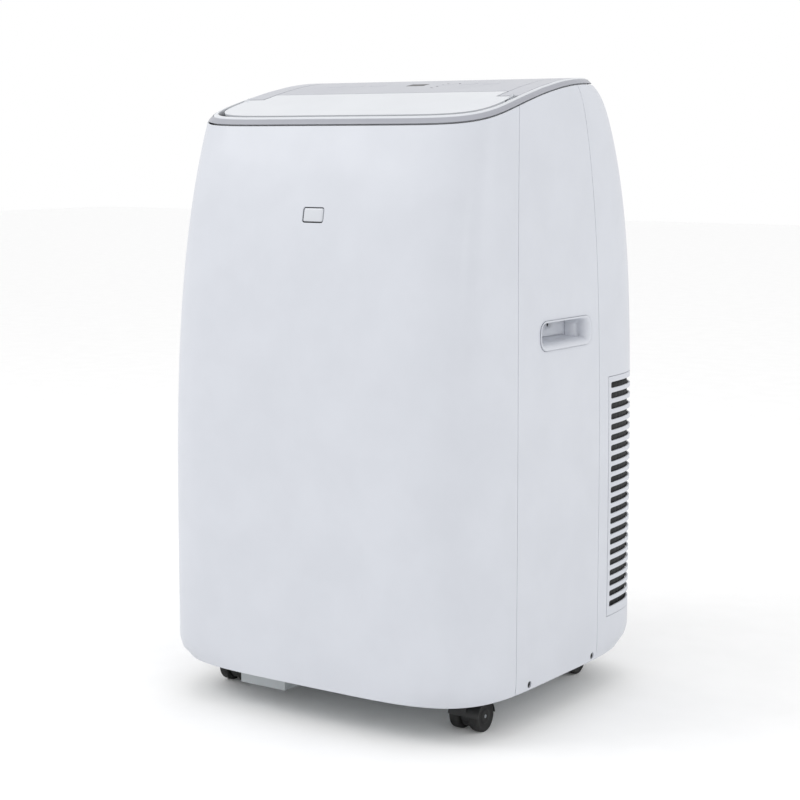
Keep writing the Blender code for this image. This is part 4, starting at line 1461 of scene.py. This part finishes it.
@dataclass
class TopDeck:
    """Trim ring, top cover, outlet flap and control panel."""

    band_profile: tuple[tuple[float, float], ...] = (
        (1.0, 1.4), (4.9, 1.4), (4.9, 6.3), (1.0, 1.8), (1.0, 1.4))
    strip_profile: tuple[tuple[float, float], ...] = (
        (5.3, -5.0), (9.5, -5.0), (9.5, 7.5), (7.2, 7.5), (5.3, 6.2), (5.3, -5.0))
    trim_bend: float = 0.4
    trim_points: int = 360
    lift: float = 7.5
    thickness: float = 2.6
    gap: float = 2.5
    cover_inset: float = 10.0
    cover_edge: float = 0.5
    cover_side_points: int = 16
    cover_rear_points: int = 90
    cover_rows: int = 5
    flap_inset: float = 15.0
    flap_rear: float = -43.5
    flap_half: float = 163.0
    flap_edge: float = 0.9
    flap_bend_points: int = 22
    flap_middle_points: int = 30
    flap_rows: int = 12
    flap_tail_rows: int = 4
    ear_y: float = -68.0
    panel_y: tuple[float, float] = (-41.5, 52.0)
    panel_half: float = 164.0
    panel_seam: float = 0.3
    panel_wall: float = 2.4
    panel_edge: float = 0.4
    panel_column: float = 8.0
    panel_row: float = 6.0
    lens_middle: tuple[float, float] = (8.0, 8.0)
    lens_half: tuple[float, float] = (12.5, 7.5)
    lens_gap: tuple[float, float] = (0.3, 0.45)
    lens_corner: float = 1.0
    lens_lift: float = -0.15
    lens_crown: float = 0.15
    button_y: float = 8.0
    button_half: tuple[float, float] = (9.0, 5.0)
    button_gap: float = 0.45
    button_corner: float = 1.3
    button_lift: float = 0.05
    button_crown: float = 0.3
    hole_corners: tuple[float, float] = (1.2, 1.5)
    hole_margin: float = 0.8
    buttons: tuple[tuple[str, float], ...] = (
        ("power", -110.0), ("mode", -80.0), ("fan_speed", -50.0), ("timer", 50.0),
        ("temperature_down", 80.0), ("temperature_up", 110.0))
    cap_points: int = 64
    cap_clearance: float = 9.0
    cap_shares: tuple[float, ...] = (0.0, 1.0, 1.0, 0.975, 0.93, 0.7, 0.35, 0.0)
    cap_skirt: tuple[float, ...] = (-1.9, -1.9, -0.35, -0.08, 0.0, 0.0, 0.0, 0.0)
    cap_dome: tuple[float, ...] = (0.0, 0.0, 0.0, 0.0, 0.25, 0.7, 0.93, 1.0)
    mark_places: tuple[tuple[float, float], ...] = (
        (42.0, -14.0), (44.0, -5.0), (46.0, 5.0), (47.0, 14.0), (64.0, 13.0))
    mark_profile: tuple[tuple[float, float], ...] = (
        (0.0, 0.0), (1.5, 0.0), (1.4, 0.12), (0.0, 0.14))
    mark_lift: float = 0.02
    mark_points: int = 20

    def build(self) -> None:
        """Build and dress everything on top of the case."""
        self.trim_ring()
        self.top_cover()
        self.flap()
        self.control_panel()
        self.marks()

    def raised(self, xy: Array, lift: float) -> Array:
        """Points of the sloping deck over x and y, raised by a lift."""
        return np.concatenate([xy, CASE.rim_height(xy[..., 1:]) + lift], axis=-1)

    def trim_ring(self) -> None:
        """The grey band and the pale strip beside it, each a cross-section carried round the rim."""
        turn = np.linspace(0, 2 * np.pi, self.trim_points, endpoint=False)
        for name, profile, finish, nodes in (
                ("top_trim_band", self.band_profile, TRIM_PAINT, ("top_trim_ring",)),
                ("top_trim_strip", self.strip_profile, FLAP_ABS, ())):
            section = rounded_profile(profile, self.trim_bend, 2)
            rows = [CASE.rim(turn, inset) + np.array([0.0, 0.0, lift]) for inset, lift in section]
            surface = Surface()
            surface.add(np.stack(rows, axis=1), grid_faces(len(turn), len(rows), around=True))
            WHOLE.piece(name, surface, "trim_grey", *nodes, finish=finish)

    def between(self, inner: Array, outer: Array, steps: int) -> Surface:
        """A sheet ruled between two plan curves and laid on the deck.

        Args:
            inner: x and y along the first curve.
            outer: x and y along the second curve.
            steps: number of rows between them.

        Returns:
            The open sheet.
        """
        share = np.linspace(0, 1, steps + 1)[None, :, None]
        plan = inner[:, None] * (1 - share) + outer[:, None] * share
        surface = Surface()
        surface.add(self.raised(plan, self.lift), grid_faces(len(inner), steps + 1))
        return surface

    def top_cover(self) -> None:
        """A horseshoe round the flap's ears and the control panel, out to the band."""
        half, inset = self.flap_half + self.gap, self.cover_inset
        side_y = np.linspace(self.ear_y + self.gap, self.panel_y[1] + self.panel_seam,
                             self.cover_side_points)
        side = CASE.rim(CASE.rim_angle_at_y(side_y, inset), inset)[:, :2]
        corner = CASE.rim_angle_at_y(side_y[-1:], inset)[0]
        arc = CASE.rim(np.linspace(corner, np.pi - corner, self.cover_rear_points), inset)[:, :2]
        rear = np.stack([np.linspace(half, -half, self.cover_rear_points),
                         np.full(self.cover_rear_points, side_y[-1])], axis=-1)
        right = np.stack([np.full(self.cover_side_points, half), side_y], axis=-1)
        inner = np.concatenate([right[:-1], rear, (right * MIRROR)[::-1][1:]])
        outer = np.concatenate([side[:-1], arc, (side * MIRROR)[::-1][1:]])
        Build(self.thickness, self.cover_edge, side=Side.UP).piece(
            "top_cover_moulding", self.between(inner, outer, self.cover_rows), "deck_grey",
            "top_cover")

    def flap(self) -> None:
        """The outlet flap: columns of constant x from the rounded front edge to the rear edge."""
        inset = self.flap_inset
        corner = float(CASE.rim_angle_at_y(np.array([self.ear_y]), inset)[0])
        start = float(CASE.rim_angle_at_x(np.array([self.flap_half]), False, inset)[0])
        bend = CASE.rim(np.linspace(start, corner, self.flap_bend_points), inset)[:, :2]
        middle_x = np.linspace(0, self.flap_half, self.flap_middle_points)[:-1]
        middle = CASE.rim(CASE.rim_angle_at_x(middle_x, False, inset), inset)[:, :2]
        middle[:, 0] = middle_x
        half_edge = np.concatenate([middle, bend])
        edge = np.concatenate([half_edge[::-1] * MIRROR, half_edge[1:]])
        line = np.stack([edge[:, 0], np.full(len(edge), self.ear_y)], axis=-1)
        surface = self.between(edge, line, self.flap_rows)
        inside = line[np.abs(line[:, 0]) <= self.flap_half + WELD_MM]
        back = inside + np.array([0.0, self.flap_rear - self.ear_y])
        tail = self.between(inside, back, self.flap_tail_rows)
        surface.add(tail.points[0], tail.faces[0])
        Build(self.thickness, self.flap_edge, 3, Side.UP, "flap").piece(
            "outlet_flap_moulding", surface, "flap_white", "outlet_flap")

    def control_panel(self) -> None:
        """The fixed panel behind the flap, pierced for the display and the buttons."""
        places = [(self.lens_middle, self.lens_half, self.lens_gap, self.hole_corners[0])]
        places += [((x, self.button_y), self.button_half, (self.button_gap,) * 2,
                    self.hole_corners[1]) for _, x in self.buttons]
        holes = [Opening(middle, (half[0] + gap[0], half[1] + gap[1]), corner, self.hole_margin, 2)
                 for middle, half, gap, corner in places]
        across = merged_lines(-self.panel_half, self.panel_half, self.panel_column, holes, 0)
        up = merged_lines(*self.panel_y, self.panel_row, holes, 1)
        surface = pierced(across, up, holes,
                          lambda x, y: self.raised(np.stack([x, y], axis=-1), self.lift))
        Build(self.panel_wall, self.panel_edge, side=Side.UP).piece(
            "control_panel_moulding", surface, "deck_grey", "control_panel")
        WHOLE.piece("display_lens_window",
                    self.cap(Opening(self.lens_middle, self.lens_half, self.lens_corner),
                             self.lens_lift, self.lens_crown), "lens_black", "display_lens")
        for name, x in self.buttons:
            plate = Opening((x, self.button_y), self.button_half, self.button_corner)
            Build(0.0, 0.0, body="button_" + name).piece(
                "button_cap_" + name, self.cap(plate, self.button_lift, self.button_crown),
                "button_white", "button_" + name)

    def cap(self, plate: Opening, lift: float, crown: float) -> Surface:
        """A crowned plate on the deck: rings that shrink from its skirt to the middle.

        Args:
            plate: its outline.
            lift: height of its edge over the panel.
            crown: how much its middle rises.

        Returns:
            The closed surface.
        """
        plan = plate.rings(self.cap_points, self.cap_clearance, self.cap_shares)
        points = self.raised(plan, self.lift)
        points[..., 2] += np.array(self.cap_skirt) + lift + crown * np.array(self.cap_dome)
        surface = Surface()
        surface.add(points, grid_faces(*plan.shape[:2], around=True))
        return surface

    def marks(self) -> None:
        """Small generic printed dots beside the display, a tenth of a millimetre high."""
        surface = Surface()
        for x, y in self.mark_places:
            z = float(CASE.rim_height(np.array(y))) + self.lift + self.mark_lift
            dot = turned(np.array(self.mark_profile), (x, y, z), "Z", self.mark_points)
            surface.add(dot.points[0], dot.faces[0])
        WHOLE.piece("indicator_marks", surface, "lens_black")


# ---------------------------------------------------------------- fittings and casters

@dataclass
class RearFittings:
    """Hose collar, drain plug and cord gland on the rear wall.

    Each profile is a radius and a distance outwards from the fitting's own y.
    """

    collar_y: float = 180.5
    collar_profile: tuple[tuple[float, float], ...] = (
        (66.0, -28.0), (66.0, 26.6), (66.6, 28.0), (69.4, 28.0), (70.0, 26.6), (70.0, 21.0),
        (68.6, 20.0), (68.6, 17.5), (70.0, 16.5), (70.0, -8.0), (80.0, -8.0), (80.0, -11.0),
        (70.0, -11.0), (70.0, -28.0), (66.0, -28.0))
    collar_bend: float = 0.8
    plug_y: float = 206.5
    plug_profile: tuple[tuple[float, float], ...] = (
        (0.0, 4.0), (7.9, 4.0), (8.6, 3.0), (8.6, 0.0), (6.2, -1.0), (6.0, -11.0), (0.0, -11.0))
    plug_bend: float = 0.6
    plug_grips: int = 12
    plug_grip_depth: float = 0.03
    plug_grip_from: float = 0.2
    gland_y: float = 197.0
    gland_profile: tuple[tuple[float, float], ...] = (
        (4.5, -10.0), (4.5, 9.6), (5.4, 10.4), (7.2, 10.4), (7.7, 9.2), (7.7, -10.0), (4.5, -10.0))
    gland_bend: float = 0.5
    fine: int = 96

    def build(self) -> None:
        """Build and dress the fittings; the plug's skirt is fluted by a cosine of the turn."""
        collar = rounded_profile(self.collar_profile, self.collar_bend, 2)
        WHOLE.piece("hose_collar",
                    turned(collar, (0.0, self.collar_y, REAR.exhaust_z), "Y", self.fine),
                    "shell_white", "exhaust_collar")
        turn = np.linspace(0, 2 * np.pi, self.fine, endpoint=False)
        plug = rounded_profile(self.plug_profile, self.plug_bend)
        fluted = (1 + np.cos(self.plug_grips * turn))[:, None] * (plug[:, 1] > self.plug_grip_from)
        WHOLE.piece("drain_plug_cap",
                    turned(plug, (0.0, self.plug_y, REAR.service_z), "Y", self.fine,
                           1 - self.plug_grip_depth * fluted), "rubber_grey", "drain_plug")
        gland = rounded_profile(self.gland_profile, self.gland_bend, 2)
        WHOLE.piece("cord_gland_bush",
                    turned(gland, (REAR.gland_x, self.gland_y, REAR.service_z), "Y"),
                    "gland_black", "cord_gland")


@dataclass
class Casters:
    """Four twin-wheel casters with hoods."""

    front_x: float = 168.0
    rear_x: float = 140.0
    y: float = 130.0
    trail: float = 12.0
    radius: float = 18.0
    rim_depth: float = 2.2
    bore: float = 2.3
    hub: float = 5.2
    hub_end: float = 6.2
    inner: float = 7.5
    outer: float = 19.0
    dish: float = 17.6
    dish_hub: float = 8.6
    wheel_bend: float = 0.7
    wheel_points: int = 56
    hood_wall: float = 0.9
    hood_edge: float = 0.3
    hood_span: tuple[float, float] = (4.0, 176.0)
    hood_clearance: float = 0.95
    hood_overhang: float = 1.2
    hood_fall: float = 1.1
    hood_power: int = 6
    hood_grid: tuple[int, int] = (32, 21)

    def build(self) -> None:
        """Build the wheels and the hood of every caster."""
        for corner, side, end in (("front_left", -1, -1), ("front_right", 1, -1),
                                  ("rear_left", -1, 1), ("rear_right", 1, 1)):
            reach = self.rear_x if end > 0 else self.front_x
            centre = (side * reach, end * self.y + self.trail, self.radius)
            Build(0.0, 0.0, body="wheel_" + corner).piece(
                "twin_wheels_" + corner, self.wheels(centre), "wheel_black",
                "caster_wheel_" + corner)
            Build(self.hood_wall, self.hood_edge, side=Side.AS_MADE, body="caster_" + corner).piece(
                "caster_hood_" + corner, self.hood(centre), "caster_black")

    def wheels(self, centre: tuple[float, float, float]) -> Surface:
        """Two dished discs with rounded treads on one hub, as one turned profile.

        Args:
            centre: the middle of the axle.

        Returns:
            The closed surface.
        """
        edge, rim = self.radius, self.radius - self.rim_depth
        half = [(self.hub, 0.0), (self.hub, self.hub_end), (rim, self.hub_end),
                (edge - 0.4, self.inner), (edge, 9.2), (edge, 17.0), (edge - 0.5, 18.4),
                (rim, self.outer), (rim - 1.2, self.outer), (rim - 2.4, self.dish),
                (self.dish_hub, self.dish), (self.dish_hub - 1.0, self.outer),
                (self.bore, self.outer)]
        mirrored = [(radius, -along) for radius, along in half[::-1]]
        loop = mirrored + half[1:] + [(self.bore, -self.outer)]
        profile = rounded_profile(loop, self.wheel_bend, 2)
        return turned(profile, centre, "X", self.wheel_points)

    def hood(self, centre: tuple[float, float, float]) -> Surface:
        """A bowed cover over both wheels.

        It spans an arc round the axle, and across the wheels its radius falls off towards the
        ends as a high power of the distance.

        Args:
            centre: the middle of the axle.

        Returns:
            The open sheet, its faces outwards.
        """
        turns, columns = self.hood_grid
        turn = np.radians(np.linspace(*self.hood_span, turns))
        across = np.linspace(-1, 1, columns)
        radius = (self.radius + self.hood_clearance
                  - self.hood_fall * np.abs(across) ** self.hood_power)
        points = np.stack(np.broadcast_arrays(
            centre[0] + ((self.outer + self.hood_overhang) * across)[None, :],
            centre[1] - radius[None] * np.cos(turn)[:, None],
            centre[2] + radius[None] * np.sin(turn)[:, None]), axis=-1)
        surface = Surface()
        surface.add(points, grid_faces(turns, columns)[:, ::-1])
        return surface


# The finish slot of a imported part, by the first of these words that its name holds.
SLOT_OF_WORD = (
    ("compressor", "compressor_black"), ("accumulator", "compressor_black"),
    ("coil", "coil_aluminium"), ("pipe", "pipe_copper"), ("motor", "motor_steel"),
    ("filter", "filter_mesh"), ("axle", "axle_steel"), ("base_pan", "pan_grey"),
    ("tray", "tray_grey"), ("box", "box_grey"), ("vane", "duct_black"), ("duct", "duct_black"),
    ("blower", "duct_black"), ("wheel", "wheel_black"), ("fork", "caster_black"),
    ("grille", "grille_white"), ("cover", "shell_white"))


class Mechanism:
    """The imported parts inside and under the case, which keep their shape and get a finish."""

    def build(self) -> None:
        """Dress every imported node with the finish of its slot."""
        for name, node in sorted(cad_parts.items()):
            finish = FINISH_OF_SLOT[self.slot(name)]
            if not node.material_slots:
                node.data.materials.append(None)
            for place in node.material_slots:
                place.material = finish.material()
            log.info("%s: %s", name, finish.name)

    def slot(self, name: str) -> str:
        """The finish slot of a node, by the words in its name."""
        return next((slot for word, slot in SLOT_OF_WORD if word in name), "shell_white")


# ---------------------------------------------------------------- studio

@dataclass(frozen=True)
class Softbox:
    """A square soft light aimed at a point; places and size in metres, power in watts."""

    name: str
    at: tuple[float, float, float]
    to: tuple[float, float, float]
    size: float
    power: float

    def hang(self) -> None:
        """Add the light to the scene."""
        light = bpy.data.lights.new(self.name, "AREA")
        light.size = self.size
        light.energy = self.power
        lamp = bpy.data.objects.new(self.name, light)
        bpy.context.scene.collection.objects.link(lamp)
        lamp.location = self.at
        aim = Vector(self.to) - Vector(self.at)
        lamp.rotation_euler = aim.to_track_quat("-Z", "Y").to_euler()


@dataclass
class Studio:
    """Floor, soft light and camera; sizes in metres."""

    camera_at: tuple[float, float, float] = (1.2550, -1.8176, 0.6544)
    camera_to: tuple[float, float, float] = (0.0020, -0.0202, 0.3490)
    lens: float = 83.5
    sensor: float = 36.0
    sky: float = 1.0
    sky_colour: str = "FFFFFF"
    floor_half: float = 12.0
    floor_finish: Finish = Finish("floor_paper", "FCFCFC", "FAFAFA", 0.9, grain_depth_mm=0.005)
    softboxes: tuple[Softbox, ...] = (
        Softbox("key_softbox", (-1.5, -1.6, 2.1), (0.0, -0.1, 0.55), 1.2, 16.0),
        Softbox("corner_softbox", (1.9, -1.7, 1.1), (0.1, -0.1, 0.4), 0.6, 2.5),
        Softbox("side_softbox", (2.2, 0.5, 1.3), (0.0, 0.0, 0.4), 1.2, 5.0))

    def build(self) -> None:
        """Build the sky, the floor, the lights and the camera."""
        self.surround()
        self.floor()
        for softbox in self.softboxes:
            softbox.hang()
        self.camera()

    def surround(self) -> None:
        """An even white sky, seen without any tone curve."""
        scene = bpy.context.scene
        scene.view_settings.view_transform = "Standard"
        world = bpy.data.worlds.new("soft_white")
        world.use_nodes = True
        shade = world.node_tree.nodes["Background"]
        shade.inputs["Color"].default_value = linear(self.sky_colour)
        shade.inputs["Strength"].default_value = self.sky
        scene.world = world

    def camera(self) -> None:
        """The camera, aimed at the middle of the case."""
        scene = bpy.context.scene
        camera = bpy.data.objects.new("camera", bpy.data.cameras.new("camera"))
        scene.collection.objects.link(camera)
        camera.location = self.camera_at
        aim = Vector(self.camera_to) - Vector(self.camera_at)
        camera.rotation_euler = aim.to_track_quat("-Z", "Y").to_euler()
        camera.data.lens = self.lens
        camera.data.sensor_width = self.sensor
        scene.camera = camera

    def floor(self) -> None:
        """A plain pale floor, wide enough to fill every view."""
        mesh = bpy.data.meshes.new("studio_floor")
        size = self.floor_half
        mesh.from_pydata([(-size, -size, 0), (size, -size, 0), (size, size, 0), (-size, size, 0)],
                         [], [(0, 1, 2, 3)])
        floor = bpy.data.objects.new("studio_floor", mesh)
        bpy.context.scene.collection.objects.link(floor)
        mesh.materials.append(self.floor_finish.material())


def main() -> None:
    """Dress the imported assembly, build its visible pieces and set the studio."""
    logging.basicConfig(level=logging.INFO, format="%(message)s")
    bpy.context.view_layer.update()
    for part in (Mechanism(), CaseMouldings(), RearGrilles(), TopDeck(), RearFittings(),
                 Casters(), Studio()):
        log.info("building %s", type(part).__name__)
        part.build()


if __name__ == "__main__":
    main()
